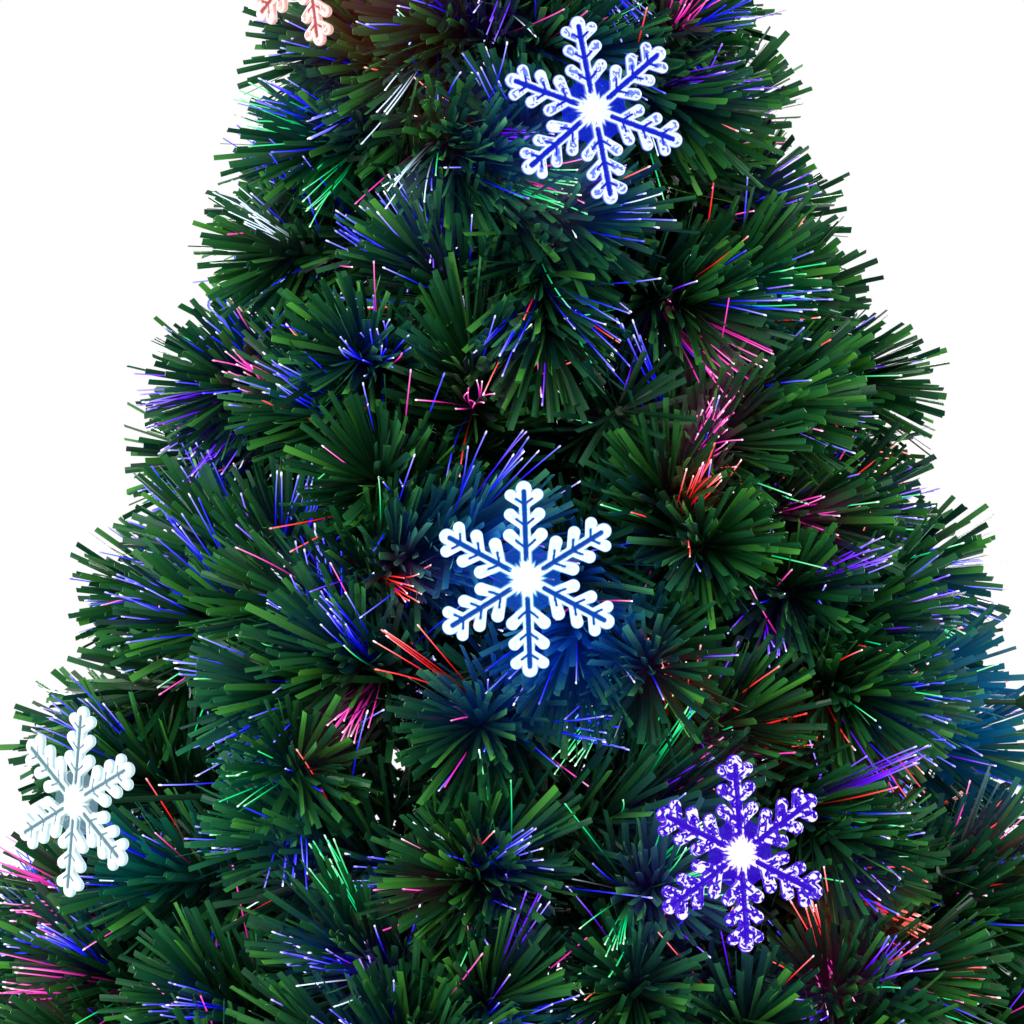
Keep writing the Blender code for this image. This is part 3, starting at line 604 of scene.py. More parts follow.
def cut_round(piece, centre, radius, depth):
    """Cuts a round hole along Y through a piece."""
    shape = bmesh.new()
    bmesh.ops.create_cone(shape, cap_ends=True, segments=32, radius1=radius, radius2=radius, depth=depth)
    cutter = finished("cutter", shape)
    cutter.rotation_euler.x = math.radians(90)
    cutter.location = centre
    modifier = piece.modifiers.new("hole", "BOOLEAN")
    modifier.object = cutter
    settle(piece)
    piece.data.set_sharp_from_angle(angle=SHARP_ANGLE)
    bpy.data.objects.remove(cutter)


def settle(piece):
    """Applies a piece's modifiers to its mesh."""
    depsgraph = bpy.context.evaluated_depsgraph_get()
    depsgraph.update()
    mesh = bpy.data.meshes.new_from_object(piece.evaluated_get(depsgraph))
    piece.modifiers.clear()
    piece.data = mesh


drum = turned("drum", drum_profile(), 96, closed=True)
for node in ("mode_button", "power_inlet"):
    low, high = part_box(node)
    middle = (low + high) / 2
    cut_round(drum, (middle.x, drum_high.y - 2 * MM, middle.z), HOLE_RADIUS, HOLE_DEPTH)
dress(drum, BASE_FINISH, "base", "base_plastic", "base_housing")
print("drum", len(drum.data.polygons), "faces")

# %% Socket, feet and button
SOCKET_WALL = 4 * MM
SOCKET_BORE = 16.35 * MM
SEAT_GAP = 0.3 * MM
FLANGE = 4 * MM
FLANGE_FOOT = 0.2 * MM
FLOOR_HOLE = 10 * MM
NECK_TOP_EDGE = 1.2 * MM
FOOT_EDGE = 2.5 * MM
FOOT_DISH = 0.6 * MM


def socket_profile():
    wall = SOCKET_BORE + SOCKET_WALL
    rim = socket_high.x
    seat = drum_high.z + SEAT_GAP
    top = socket_high.z
    profile = [(SOCKET_BORE, top - NECK_TOP_EDGE / 2), (SOCKET_BORE + NECK_TOP_EDGE / 2, top)]
    profile += reversed(arc(wall - NECK_TOP_EDGE, top - NECK_TOP_EDGE, NECK_TOP_EDGE, 0, 90, 5))
    profile += arc(wall + SOCKET_WALL, seat + FLANGE + SOCKET_WALL, SOCKET_WALL, 180, 270, 7)
    profile += reversed(arc(rim - FLANGE, seat + FLANGE_FOOT, FLANGE - FLANGE_FOOT, 0, 90, 7))
    floor_top = socket_low.z + SOCKET_WALL
    profile += [(rim, seat), (wall, seat), (wall, socket_low.z), (FLOOR_HOLE, socket_low.z)]
    return profile + [(FLOOR_HOLE, floor_top), (SOCKET_BORE, floor_top)]


socket = turned("socket", socket_profile(), 64, closed=True)
dress(socket, SOCKET_FINISH, "base", "base_plastic", "trunk_socket")
for number in range(1, 5):
    low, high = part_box(f"foot_{number}")
    rim = (high.x - low.x) / 2
    height = high.z
    profile = [(0, height), (rim - 2 * MM, height)]
    profile += reversed(arc(rim - FOOT_EDGE, FOOT_EDGE, FOOT_EDGE, -90, 12, 7))
    profile += [(rim - 4 * MM, 0), (rim - 5 * MM, FOOT_DISH), (0, FOOT_DISH)]
    foot = turned(f"rubber_foot_{number}", profile, 32)
    foot.location = ((low.x + high.x) / 2, (low.y + high.y) / 2, 0)
    dress(foot, RUBBER_FINISH, "base", "foot_rubber", f"foot_{number}")
low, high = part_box("mode_button")
length = high.y - low.y
cap = (high.x - low.x) / 2
profile = [(0, length - 0.5 * MM), (cap * 0.5, length - 0.4 * MM), (cap * 0.62, length)]
profile += reversed(arc(cap - MM, length - MM, MM, 0, 90, 5))
profile += [(cap, 0), (0, 0)]
button = turned("button_cap", profile, 32)
button.rotation_euler.x = math.radians(-90)
button.location = ((low.x + high.x) / 2, low.y, (low.z + high.z) / 2)
dress(button, BUTTON_FINISH, "mode_button", "button_plastic", "mode_button")
print("socket, four feet and a button")

# %% Trunk and collars
trunk_low, trunk_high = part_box("trunk")
TRUNK_RADIUS = trunk_high.x
TRUNK_WALL = 2 * MM
TRUNK_EDGE = 0.4 * MM
COLLAR_EDGE = 2 * MM
COLLAR_WAIST = 0.7 * MM
WAIST_HALF = 6 * MM
COLLAR_NODES = [f"bough_collar_{tier}" for tier in range(1, 5)]

bore = TRUNK_RADIUS - TRUNK_WALL
profile = [(TRUNK_RADIUS - TRUNK_EDGE, trunk_high.z), (TRUNK_RADIUS, trunk_high.z - TRUNK_EDGE),
           (TRUNK_RADIUS, trunk_low.z), (bore, trunk_low.z), (bore, trunk_high.z)]
pole = turned("trunk_tube", profile, 48, closed=True)
dress(pole, TRUNK_FINISH, "tree", "trunk_paint", "trunk")
for tier, node in enumerate(COLLAR_NODES, 1):
    low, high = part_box(node)
    rim = high.x
    waist = (low.z + high.z) / 2
    ring_bore = TRUNK_RADIUS + SEAT_GAP
    profile = [(ring_bore, high.z)]
    profile += reversed(arc(rim - COLLAR_EDGE, high.z - COLLAR_EDGE, COLLAR_EDGE, 0, 90, 6))
    profile += [(rim - COLLAR_WAIST, waist + WAIST_HALF), (rim - COLLAR_WAIST, waist - WAIST_HALF)]
    profile += reversed(arc(rim - COLLAR_EDGE, low.z + COLLAR_EDGE, COLLAR_EDGE, -90, 0, 6))
    profile.append((ring_bore, low.z))
    collar = turned(f"collar_ring_{tier}", profile, 48, closed=True)
    dress(collar, COLLAR_FINISH, "tree", "collar_plastic", node)
print("trunk", round(trunk_high.z - trunk_low.z, 3), "m long")

# %% [markdown]
# A needle of this tree is a flat strip cut from green film, 51 mm long and 3.5 mm wide, with a
# blunt end. Hundreds are caught in the twist of a wire and stand out from it all round, so each
# twig ends in a round tuft. A particle system could grow them, but strips that are worked out
# as points keep their blunt ends and flat sides, and every tuft can be put where it is seen.

# %% Needle finish
NEEDLE_DARK = (0.004, 0.036, 0.02)
NEEDLE_MIDDLE = (0.014, 0.13, 0.034)
NEEDLE_PALE = (0.075, 0.35, 0.035)


def needle_finish():
    """Green film: each strip has its own tone, and painted shade darkens it towards where it leaves the
    wire.
    """
    film = {"Specular IOR Level": 0.18, "Emission Strength": 1.0}
    material, shader, start = new_finish("needle_film", constants=film)
    tone = point_value(start, "tone")
    along = point_value(start, "along")
    colour = ramp(start, tone, ((0.0, NEEDLE_DARK), (0.55, NEEDLE_MIDDLE), (1.0, NEEDLE_PALE)))
    # Painted shade: the strip's colour is darker towards its root, where the tuft shades it, and full at
    # its tip.
    shade = along * along * 0.64 + along * 0.2 + 0.16
    start.plug(colour * shade, shader.inputs["Base Color"])
    start.plug(tone * 0.15 + 0.3, shader.inputs["Roughness"])
    start.plug(point_value(start, "cast", "Color") * (along * 0.6 + 0.4), shader.inputs["Emission Color"])
    return material


def wire_finish():
    """Twisted wire in dark green paint, with a fine grain in its colour and its bumps."""
    material, shader, start = new_finish("twig_wire", 0.5, 0.3)
    grain = object_noise(start, 600.0)
    start.plug(grain.mix((0.006, 0.02, 0.008), (0.02, 0.05, 0.02)), shader.inputs["Base Color"])
    bumped(start, shader, grain, 0.5, 0.2 * MM)
    return material


NEEDLE_FINISH = needle_finish()
WIRE_FINISH = wire_finish()
print("needle tones from", NEEDLE_DARK, "to", NEEDLE_PALE)

# %% Where the boughs' stems run
COLLAR_BOUGHS = (4, 4, 4, 3)
FIRST_AZIMUTHS = (21, 63, 18, 100)
STEM_LENGTHS = (295 * MM, 225 * MM, 150 * MM, 84 * MM)
STEM_RISE = math.radians(12)
STEM_STRAIGHT = 33 * MM


def stem_route(azimuth, height, length):
    """A stem's three points: at the trunk, where it starts to rise, and its end."""
    ahead = outward(float(azimuth))
    start = ahead * TRUNK_RADIUS + np.array([0, 0, height])
    knee = start + ahead * STEM_STRAIGHT
    climb = ahead * math.cos(STEM_RISE) + np.array([0, 0, math.sin(STEM_RISE)])
    return np.array([start, knee, knee + climb * (length - STEM_STRAIGHT)])


STEMS = {}
for tier, count in enumerate(COLLAR_BOUGHS):
    low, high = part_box(COLLAR_NODES[tier])
    for index in range(count):
        azimuth = FIRST_AZIMUTHS[tier] + index * 360 / count
        route = stem_route(azimuth, (low.z + high.z) / 2, STEM_LENGTHS[tier])
        STEMS[f"bough_{tier + 1}_{index + 1}"] = route
TREE_TOP = CAD_BOX[1][2]
leader_heights = (trunk_high.z - 5 * MM, trunk_high.z + 100 * MM, TREE_TOP - 50 * MM)
STEMS["top_sprig"] = np.array([[0, 0, height] for height in leader_heights])
print(len(STEMS), "stems")

# %% [markdown]
# The tufts' places make the likeness. The ones that stand out in the picture are placed by the
# pixel where their middle is seen, and carried back to the tree's cone along the camera's ray.
# The rest of the cone is filled with tufts that keep a least distance from each other, which
# looks natural and leaves no rows.

# %% The tree's cone and the snowflakes in front of it
SLOPE = 0.333
SKIRT_RADIUS = 377 * MM
HIGHEST_TUFT = TREE_TOP - 60 * MM
LOWEST_TUFT = 300 * MM
SLIMMEST_RING = 35 * MM
FLAKE_COUNT = 11
FLAKE_CLEAR = 51 * MM
FLAKE_DEPTH = 9 * MM


def cone_radius(height):
    return np.minimum((TREE_TOP - height) * SLOPE, SKIRT_RADIUS)


JOINTS = {joint["name"]: joint for joint in frame["joints"]}
FLAKE_HUBS = np.array([JOINTS[f"snowflake_{n:02d}_turn"]["pos_m"] for n in range(1, FLAKE_COUNT + 1)])
FLAKE_AXES = np.array([JOINTS[f"snowflake_{n:02d}_turn"]["axis"] for n in range(1, FLAKE_COUNT + 1)])
print(FLAKE_COUNT, "snowflakes")

# %% Tufts that the picture shows
PICTURE_TUFTS = (
    (390, 3), (356, 209), (467, 307), (343, 447), (300, 20), (554, 389), (665, 229), (760, 130),
    (816, 255), (760, 420), (434, 538), (294, 633), (186, 590), (287, 773), (451, 743), (183, 809),
    (411, 881), (278, 920), (170, 700), (727, 548), (659, 692), (541, 843), (953, 721), (572, 712),
    (264, 66), (254, 160), (226, 245), (176, 390), (112, 505), (108, 605), (52, 742),
    (810, 76), (818, 172), (864, 268), (926, 392), (920, 492), (984, 572), (1004, 650), (1030, 760),
)
PICTURE_INSET = 18 * MM


def pixel_ray(column, row):
    """Where a pixel's ray meets the plane through the trunk."""
    x = (column - TRUNK_PIXEL) * PIXEL
    z = VIEW_HEIGHT + (PICTURE_PIXELS / 2 - row) * PIXEL
    return np.array([x, 0.0, z])


def on_cone(column, row):
    """The front point of the cone that a pixel's ray meets, or its outline beside it."""
    eye = np.array([VIEW_X, -VIEW_DISTANCE, VIEW_HEIGHT])
    aim = pixel_ray(column, row) - eye
    share = 1.0
    for _ in range(12):
        point = eye + aim * share
        radius = cone_radius(point[2]) - PICTURE_INSET
        depth = math.sqrt(max(radius**2 - point[0] ** 2, 0.0))
        share = (VIEW_DISTANCE - depth) / VIEW_DISTANCE
    return eye + aim * share


picture_points = [on_cone(column, row) for column, row in PICTURE_TUFTS]
print(len(picture_points), "tufts from the picture")

# %% Fill the rest of the cone
TUFT_SPACING = 54 * MM
TRIES = 9000
TREE_LEAN = 6 * MM
TUFT_INSETS = (10 * MM, 30 * MM)
rng = np.random.default_rng(7)


def fill_cone(points):
    """Adds points on the cone that keep their distance from those before them."""
    found = list(points)
    for _ in range(TRIES):
        height = HIGHEST_TUFT - (HIGHEST_TUFT - LOWEST_TUFT) * math.sqrt(rng.random())
        azimuth = rng.uniform(0, 360)
        radius = cone_radius(height) - rng.uniform(*TUFT_INSETS)
        if radius < SLIMMEST_RING:
            continue
        point = outward(azimuth) * radius + np.array([TREE_LEAN, 0, height])
        if np.linalg.norm(np.array(found) - point, axis=1).min() > TUFT_SPACING:
            found.append(point)
    return np.array(found)


TUFT_POINTS = fill_cone(picture_points)
print(len(TUFT_POINTS), "tufts")

# %% Each tuft's heading, and the bough that carries it
HEADING_RISE = 4.0
HEADING_SPREAD = 21.0
LEAN_INSET = 70 * MM


def headings_of(points):
    """Outward, with the wires bent a little up, down or aside by hand."""
    azimuths = np.degrees(np.arctan2(points[:, 0], -points[:, 1]))
    azimuths += rng.normal(0, HEADING_SPREAD, len(points))
    rises = np.radians(rng.normal(HEADING_RISE, HEADING_SPREAD, len(points)))
    level = outward(azimuths) * np.cos(rises)[:, None]
    return level + np.sin(rises)[:, None] * np.array([0, 0, 1.0])


def set_deeper(points, headings):
    """Tufts that lean aside go in, because the needles on their sides then reach out."""
    away = unit(points * (1, 1, 0))
    lean = 1 - np.sum(away * headings, axis=1)
    return points - away * (lean * LEAN_INSET)[:, None]


def near_stem(point, route):
    """The least distance from a point to a stem, and how far along the stem that is."""
    best, place, run = 1e9, 0.0, 0.0
    for start, end in zip(route, route[1:]):
        stretch = end - start
        length = np.linalg.norm(stretch)
        share = np.clip(np.dot(point - start, stretch) / length**2, 0, 1)
        gap = np.linalg.norm(point - start - stretch * share)
        if gap < best:
            best, place = gap, run + share * length
        run += length
    return best, place


def along_stem(route, distance):
    for start, end in zip(route, route[1:]):
        length = np.linalg.norm(end - start)
        if distance <= length:
            return start + (end - start) * distance / length, (end - start) / length
        distance -= length
    return route[-1], (end - start) / length


TUFT_HEADINGS = headings_of(TUFT_POINTS)
TUFT_POINTS = set_deeper(TUFT_POINTS, TUFT_HEADINGS)
CARRIERS = []
for point in TUFT_POINTS:
    gaps = {name: near_stem(point, route)[0] for name, route in STEMS.items()}
    CARRIERS.append(min(gaps, key=gaps.get))
print({name: CARRIERS.count(name) for name in STEMS})

# %% Needles round a wire
NEEDLE_LENGTH = 51 * MM
NEEDLE_WIDTH = 3.5 * MM
LENGTH_SHARES = (0.84, 1.08)
WIDTH_SHARES = (0.8, 1.12)
TURN_STEP = math.radians(137.5)
TURN_SPREAD = 0.25
ANGLE_SPREAD = 9
FLAT_TWIST = 0.7
FORWARD_BEND = 5 * MM
BEND_SPREAD = 2.2 * MM
TONE_MIDDLE = 0.46
TONE_SPREAD = 0.24
TUFT_DEPTH = 78 * MM
TUFT_NEEDLES = 190
TWIG_NEEDLES_A_METRE = 440
FRONT_REACH = 40 * MM


def needles_on(root, heading, depth, count, length, spread):
    """Needles on a straight wire. Spread gives their angles to it at its root and at its end."""
    places = np.sqrt(rng.random(count))
    turns = np.arange(count) * TURN_STEP + rng.normal(0, TURN_SPREAD, count)
    first, second = across(np.broadcast_to(heading, (count, 3)))
    sideways = first * np.cos(turns)[:, None] + second * np.sin(turns)[:, None]
    angles = spread[0] + (spread[1] - spread[0]) * places**1.6 + rng.normal(0, ANGLE_SPREAD, count)
    angles = np.radians(angles)
    ahead = heading * np.cos(angles)[:, None] + sideways * np.sin(angles)[:, None]
    roots = root + heading * (places * depth)[:, None]
    lengths = length * rng.uniform(*LENGTH_SHARES, count)
    widths = NEEDLE_WIDTH * rng.uniform(*WIDTH_SHARES, count)
    flats = np.cross(ahead, sideways + rng.normal(0, FLAT_TWIST, (count, 3)))
    bends = heading * FORWARD_BEND + rng.normal(0, BEND_SPREAD, (count, 3))
    tones = np.clip(rng.normal(TONE_MIDDLE, TONE_SPREAD, count), 0, 1)
    return roots, unit(ahead), lengths, widths, unit(flats), bends, tones


def clear_of_flakes(roots, ahead, lengths, bends):
    """True for the needles that stay out of the discs in which the snowflakes turn."""
    free = np.ones(len(roots), bool)
    for hub, axis in zip(FLAKE_HUBS, FLAKE_AXES):
        for share in (0.5, 0.75, 1.0):
            points = roots + ahead * (lengths * share)[:, None] + bends * share**2 - hub
            rise = points @ axis
            beside = np.linalg.norm(points - rise[:, None] * axis, axis=1)
            free &= ~((rise > -FLAKE_DEPTH) & (beside < FLAKE_CLEAR))
    return free


def add_needles(gather, rows):
    """Makes the needles of several wires, leaving out those in a snowflake's way."""
    roots, ahead, lengths, widths, flats, bends, tones = [np.concatenate(part) for part in zip(*rows)]
    free = clear_of_flakes(roots, ahead, lengths, bends)
    points, faces = strips(roots[free], ahead[free], lengths[free], widths[free], flats[free], bends[free])
    corners = len(STRIP_STATIONS) * 3
    along = np.tile(np.repeat(STRIP_STATIONS, 3), free.sum())
    gather.add(points, faces, 0, tone=np.repeat(tones[free], corners), along=along)
    return free.sum()


# %% Twigs and tufts of one bough
STEM_VISIBLE_RADIUS = 2.6 * MM
TWIG_RADIUS = 1.3 * MM
TWIG_STATIONS = 7
TWIG_SETBACK = 55 * MM
WIRE_SIDES = 6


def twig_route(route, point, heading):
    """A wire that leaves the stem, bends, and runs straight into its tuft."""
    end = point - heading * FRONT_REACH
    root = end - heading * TUFT_DEPTH
    _, place = near_stem(root, route)
    start, climb = along_stem(route, max(place - TWIG_SETBACK, 0.3 * place))
    handle = start + climb * 0.4 * np.linalg.norm(root - start)
    shares = np.linspace(0, 1, TWIG_STATIONS)[:, None]
    curve = start * (1 - shares) ** 2 + handle * 2 * shares * (1 - shares) + root * shares**2
    return np.vstack([curve, end])


def twig_needles(curve):
    """Shorter needles along the bent stretch, which fill the inside of the tree, their tones darkened as
    painted shade.
    """
    rows = []
    for start, end in zip(curve[:-2], curve[1:-1]):
        stretch = np.linalg.norm(end - start)
        count = int(stretch * TWIG_NEEDLES_A_METRE)
        if count:
            heading = (end - start) / stretch
            row = needles_on(start, heading, stretch, count, NEEDLE_LENGTH * 0.75, (62, 58))
            # Painted shade: the tones of these inner needles are cut to 0.4 of their own, for the shade
            # inside the tree.
            rows.append((*row[:-1], row[-1] * 0.4))
    return rows


def dress_bough(name, route):
    gather = Gather()
    rows, wires = [], []
    for point, heading, carrier in zip(TUFT_POINTS, TUFT_HEADINGS, CARRIERS):
        if carrier != name:
            continue
        curve = twig_route(route, point, heading)
        wires.append(curve)
        rows += twig_needles(curve)
        root = point - heading * (FRONT_REACH + TUFT_DEPTH)
        rows.append(needles_on(root, heading, TUFT_DEPTH, TUFT_NEEDLES, NEEDLE_LENGTH, (66, 30)))
    rows += twig_needles(np.vstack([route, route[-1:]]))
    made = add_needles(gather, rows)
    add_wires(gather, np.array(wires), TWIG_RADIUS)
    add_wires(gather, route[None], STEM_VISIBLE_RADIUS)
    bough = gather.make(f"{name}_tufts", [NEEDLE_FINISH, WIRE_FINISH])
    dress(bough, None, "tree", "needle_green", name)
    TUFTED.append(bough)
    return made


def add_wires(gather, routes, radius):
    radii = np.full(routes.shape[:2], radius)
    points, faces = tubes(routes, radii, WIRE_SIDES)
    zeros = np.zeros(len(points))
    gather.add(points, faces, 1, tone=zeros, along=zeros)


TUFTED = []
needle_total = 0
for name, route in STEMS.items():
    if name != "top_sprig":
        needle_total += dress_bough(name, route)
print(needle_total, "needles on the boughs")

# %% [markdown]
# The leader on top is one upright wire whose needles get shorter towards the tip, with a few
# tufts round its foot.

# %% Leader
LEADER_STEPS = 9
LEADER_NEEDLES = 46


def leader_rows(foot, top):
    """Needles up the leader, in steps whose length falls towards the tip."""
    rows = []
    step = (top - foot) / LEADER_STEPS
    for index in range(LEADER_STEPS):
        share = index / (LEADER_STEPS - 1)
        length = NEEDLE_LENGTH * (1 - 0.45 * share)
        root = np.array([0, 0, foot + index * step])
        spread = (62 - 12 * share, 52 - 22 * share)
        rows.append(needles_on(root, np.array([0, 0, 1.0]), step, LEADER_NEEDLES, length, spread))
    return rows


def dress_leader():
    gather = Gather()
    rows, wires = [], []
    route = STEMS["top_sprig"]
    for point, heading, carrier in zip(TUFT_POINTS, TUFT_HEADINGS, CARRIERS):
        if carrier == "top_sprig":
            curve = short_twig(route, point, heading)
            wires.append(curve)
            depth = np.linalg.norm(curve[-1] - curve[-2])
            length = NEEDLE_LENGTH * 0.85
            rows.append(needles_on(curve[-2], heading, depth, TUFT_NEEDLES // 2, length, (62, 32)))
    rows += leader_rows(trunk_high.z - 10 * MM, TREE_TOP - 27 * MM)
    made = add_needles(gather, rows)
    if wires:
        add_wires(gather, np.array(wires), TWIG_RADIUS)
    wire_heights = (trunk_high.z - 20 * MM, TREE_TOP - 25 * MM)
    add_wires(gather, np.array([[[0, 0, height] for height in wire_heights]]), STEM_VISIBLE_RADIUS)
    leader = gather.make("leader_tufts", [NEEDLE_FINISH, WIRE_FINISH])
    dress(leader, None, "tree", "needle_green", "top_sprig")
    TUFTED.append(leader)
    return made


def short_twig(route, point, heading):
    """A side twig of the leader: it leaves the upright wire below its tuft."""
    tilted = unit(heading + np.array([0, 0, 0.9]))
    end = point - tilted * FRONT_REACH * 0.7
    root = end - tilted * min(TUFT_DEPTH * 0.6, 0.8 * np.linalg.norm(end[:2]))
    start = np.array([0, 0, max(root[2] - 15 * MM, trunk_high.z)])
    return np.vstack([start, (start + root) / 2, root, end])


print(dress_leader(), "needles on the leader")

# %% [markdown]
# An optical fibre carries the lamp's light inside it, and it shows only near its end, where the
# light comes out: a thin coloured streak with a bright dot. A tuft has up to three bunches, in
# one or two of the colours that the filter wheel gives, and some single fibres in any of them.
# The streak is emission that is stored at the points of the tube: little near the root, and
# pale at the tip.

# %% Fibre finish
FIBRE_GLOW = 1.5


def fibre_finish():
    """The stored light, on a nearly black thread."""
    thread = {"Specular IOR Level": 0.1, "Emission Strength": FIBRE_GLOW}
    material, shader, start = new_finish("lit_fibre", 0.3, constants=thread)
    glow = point_value(start, "glow", "Color")
    start.plug(glow * 0.1 + (0.01, 0.015, 0.015), shader.inputs["Base Color"])
    start.plug(glow, shader.inputs["Emission Color"])
    return material


FIBRE_FINISH = fibre_finish()

# %% Fibre colours by side
BLUE, VIOLET, PINK = (0.003, 0.003, 0.95), (0.13, 0.0, 0.95), (0.8, 0.02, 0.42)
RED, GREEN, WHITE = (0.9, 0.01, 0.012), (0.0, 0.62, 0.18), (0.6, 0.75, 0.95)
FIBRE_COLOURS = np.array([BLUE, VIOLET, PINK, RED, GREEN, WHITE])
LEFT_CHANCES = np.array([0.52, 0.1, 0.13, 0.05, 0.1, 0.1])
RIGHT_CHANCES = np.array([0.28, 0.18, 0.12, 0.2, 0.18, 0.04])
BUNCH_CHANCES = (0.16, 0.34, 0.32, 0.18)
BUNCH_LEAN = 0.42
BUNCH_SPREAD = 0.09
BUNCH_REACHES = (64 * MM, 84 * MM)
SINGLES_A_TUFT = 8
SINGLE_SPREAD = 0.75
SINGLE_REACHES = (56 * MM, 78 * MM)
FIBRE_ROOT_DEPTH = FRONT_REACH + 30 * MM
FIBRE_RADIUS = 0.36 * MM
FIBRE_SIDES = 3
FIBRE_STATIONS = np.array([0.0, 0.3, 0.45, 0.58, 0.72, 0.84, 0.97, 0.98, 1.0])
FIBRE_GIRTHS = np.array([0.9, 0.9, 0.9, 1.0, 1.0, 1.0, 1.0, 1.5, 1.2])
FIBRE_LIGHT = np.array([0.0, 0.03, 0.12, 0.4, 0.85, 1.0, 1.0, 1.0, 1.0])
TIP_WHITE = np.array([0.0, 0.0, 0.0, 0.0, 0.006, 0.08, 0.2, 0.42, 0.55])
PALE_SHARES = (0.05, 1.9)


def tuft_fibres(point, heading):
    """The fibres of one tuft as (routes, colours): some in bunches, some each on its own."""
    chances = LEFT_CHANCES if point[0] < rng.normal(0, 60 * MM) else RIGHT_CHANCES
    pair = rng.choice(len(FIBRE_COLOURS), 2, p=chances)
    root = point - heading * FIBRE_ROOT_DEPTH
    leans, colours, reaches = [], [], []
    for colour in rng.choice(pair, rng.choice((0, 1, 2, 3), p=BUNCH_CHANCES)):
        count = rng.integers(5, 13)
        lean = unit(heading + rng.normal(0, BUNCH_LEAN, 3))
        reach = rng.uniform(*BUNCH_REACHES)
        BUNCH_GLOWS.append((root + lean * reach * 0.8, FIBRE_COLOURS[colour]))
        leans.append(lean + rng.normal(0, BUNCH_SPREAD, (count, 3)))
        reaches.append(reach + rng.normal(0, 5 * MM, count))
        colours += [FIBRE_COLOURS[colour]] * count
    leans.append(heading + rng.normal(0, SINGLE_SPREAD, (SINGLES_A_TUFT, 3)))
    reaches.append(rng.uniform(*SINGLE_REACHES, SINGLES_A_TUFT))
    colours += list(FIBRE_COLOURS[rng.choice(len(FIBRE_COLOURS), SINGLES_A_TUFT, p=chances)])
    ends = root + unit(np.concatenate(leans)) * np.concatenate(reaches)[:, None]
    middles = ((root + ends) / 2 + rng.normal(0, 3 * MM, ends.shape))[:, None]
    shares = FIBRE_STATIONS[None, :, None]
    routes = root * (1 - shares) ** 2 + 2 * shares * (1 - shares) * middles + shares**2 * ends[:, None]
    return routes, np.array(colours)


def fibre_glow(colours):
    """A colour with its alpha for each station of each fibre, whiter towards the tip."""
    lit = colours[:, None] * FIBRE_LIGHT[None, :, None]
    pale = rng.uniform(*PALE_SHARES, len(colours))[:, None, None]
    lit = lit + (1 - lit) * np.clip(TIP_WHITE[None, :, None] * pale, 0, 0.95)
    return np.concatenate([lit, np.ones((*lit.shape[:2], 1))], axis=2)


def clear_routes(routes):
    """True for the fibres whose ends stay out of the snowflakes' discs."""
    starts = routes[:, 0]
    reach = routes[:, -1] - starts
    lengths = np.linalg.norm(reach, axis=1)
    return clear_of_flakes(starts, unit(reach), lengths, np.zeros_like(starts))


BUNCH_GLOWS = []
FIBRE_BODIES = {"left": [], "right": []}
fibre_count = 0
for side, parts in FIBRE_BODIES.items():
    for point, heading in zip(TUFT_POINTS, TUFT_HEADINGS):
        if (point[0] < 0) == (side == "left"):
            routes, colours = tuft_fibres(point, heading)
            free = clear_routes(routes)
            parts.append((routes[free], colours[free]))
    routes = np.concatenate([part[0] for part in parts])
    glow = fibre_glow(np.concatenate([part[1] for part in parts]))
    radii = np.tile(FIBRE_RADIUS * FIBRE_GIRTHS, (len(routes), 1))
    points, faces = tubes(routes, radii, FIBRE_SIDES)
    gather = Gather()
    gather.add(points, faces, 0, glow=np.repeat(glow.reshape(-1, 4), FIBRE_SIDES, axis=0))
    sprays = gather.make(f"fibres_{side}", [FIBRE_FINISH], smooth=True)
    dress(sprays, None, "tree", "clear_fibre")
    fibre_count += len(routes)
print(fibre_count, "fibres")

# %% [markdown]
# The snowflakes are clear mouldings, lit from the hub. Light runs along inside the plastic and
# comes out where the surface turns: the rounded lobes are bright, and the grooves down each
# arm, like the veins of a leaf, stay in the lamp's own deep colour. Round lobes could be drawn
# as an outline and bevelled, but joining soft capsules into one skin gives the moulded swelling
# of each lobe by itself. The grooves are then pressed into that skin.

# %% Snowflake plan, as shares of its radius
FLAKE_RADIUS = 47 * MM
FLAKE_HALF = 2 * MM
ARM_HALF_WIDTH = 0.058
ARM_END = 0.9
END_LOBE = (0.89, 0.915, 0.084)
LOBES = ((0.31, 0.447, 0.16, 0.071), (0.54, 0.655, 0.146, 0.068), (0.755, 0.85, 0.136, 0.065))
LOBE_FOOT_SIDE = 0.02
FOOT_GIRTH = 0.72
FLAKE_CROWN = 1.4
HUB_HOLE_SHARE = 0.062
WEB_RADIUS = 0.34
WEB_HALF = 0.8 * MM
HUB_RADIUS = 0.165
HUB_RAYS = 0.04
HUB_FADE = 0.09
VOXEL = 0.5 * MM
GROOVE_HALF_WIDTH = 0.02
VEIN_HALF_WIDTH = 0.0095
VEIN_SHARE = 0.6
EDGE_FADE = 0.6


def arm_lines():
    """Each (start, end, half width, girth at the start) of one arm along +Y."""
    spine = ((0.0, HUB_HOLE_SHARE + ARM_HALF_WIDTH), (0.0, ARM_END), ARM_HALF_WIDTH, 1.0)
    end_lobe = ((0.0, END_LOBE[0]), (0.0, END_LOBE[1]), END_LOBE[2], 1.0)
    lines = [spine, end_lobe]
    for foot, tip, side, width in LOBES:
        for sign in (-1, 1):
            lines.append(((sign * LOBE_FOOT_SIDE, foot), (sign * side, tip), width, FOOT_GIRTH))
    return lines


def vein_lines():
    """The grooves of one arm, (start, end, half width): down its spine and into each lobe."""
    lines = [((0.0, 0.2), (0.0, 0.885), GROOVE_HALF_WIDTH)]
    for foot, tip, side, _ in LOBES:
        for sign in (-1, 1):
            end = (sign * side * VEIN_SHARE, foot + (tip - foot) * VEIN_SHARE)
            lines.append(((0.0, foot), end, VEIN_HALF_WIDTH))
    return lines


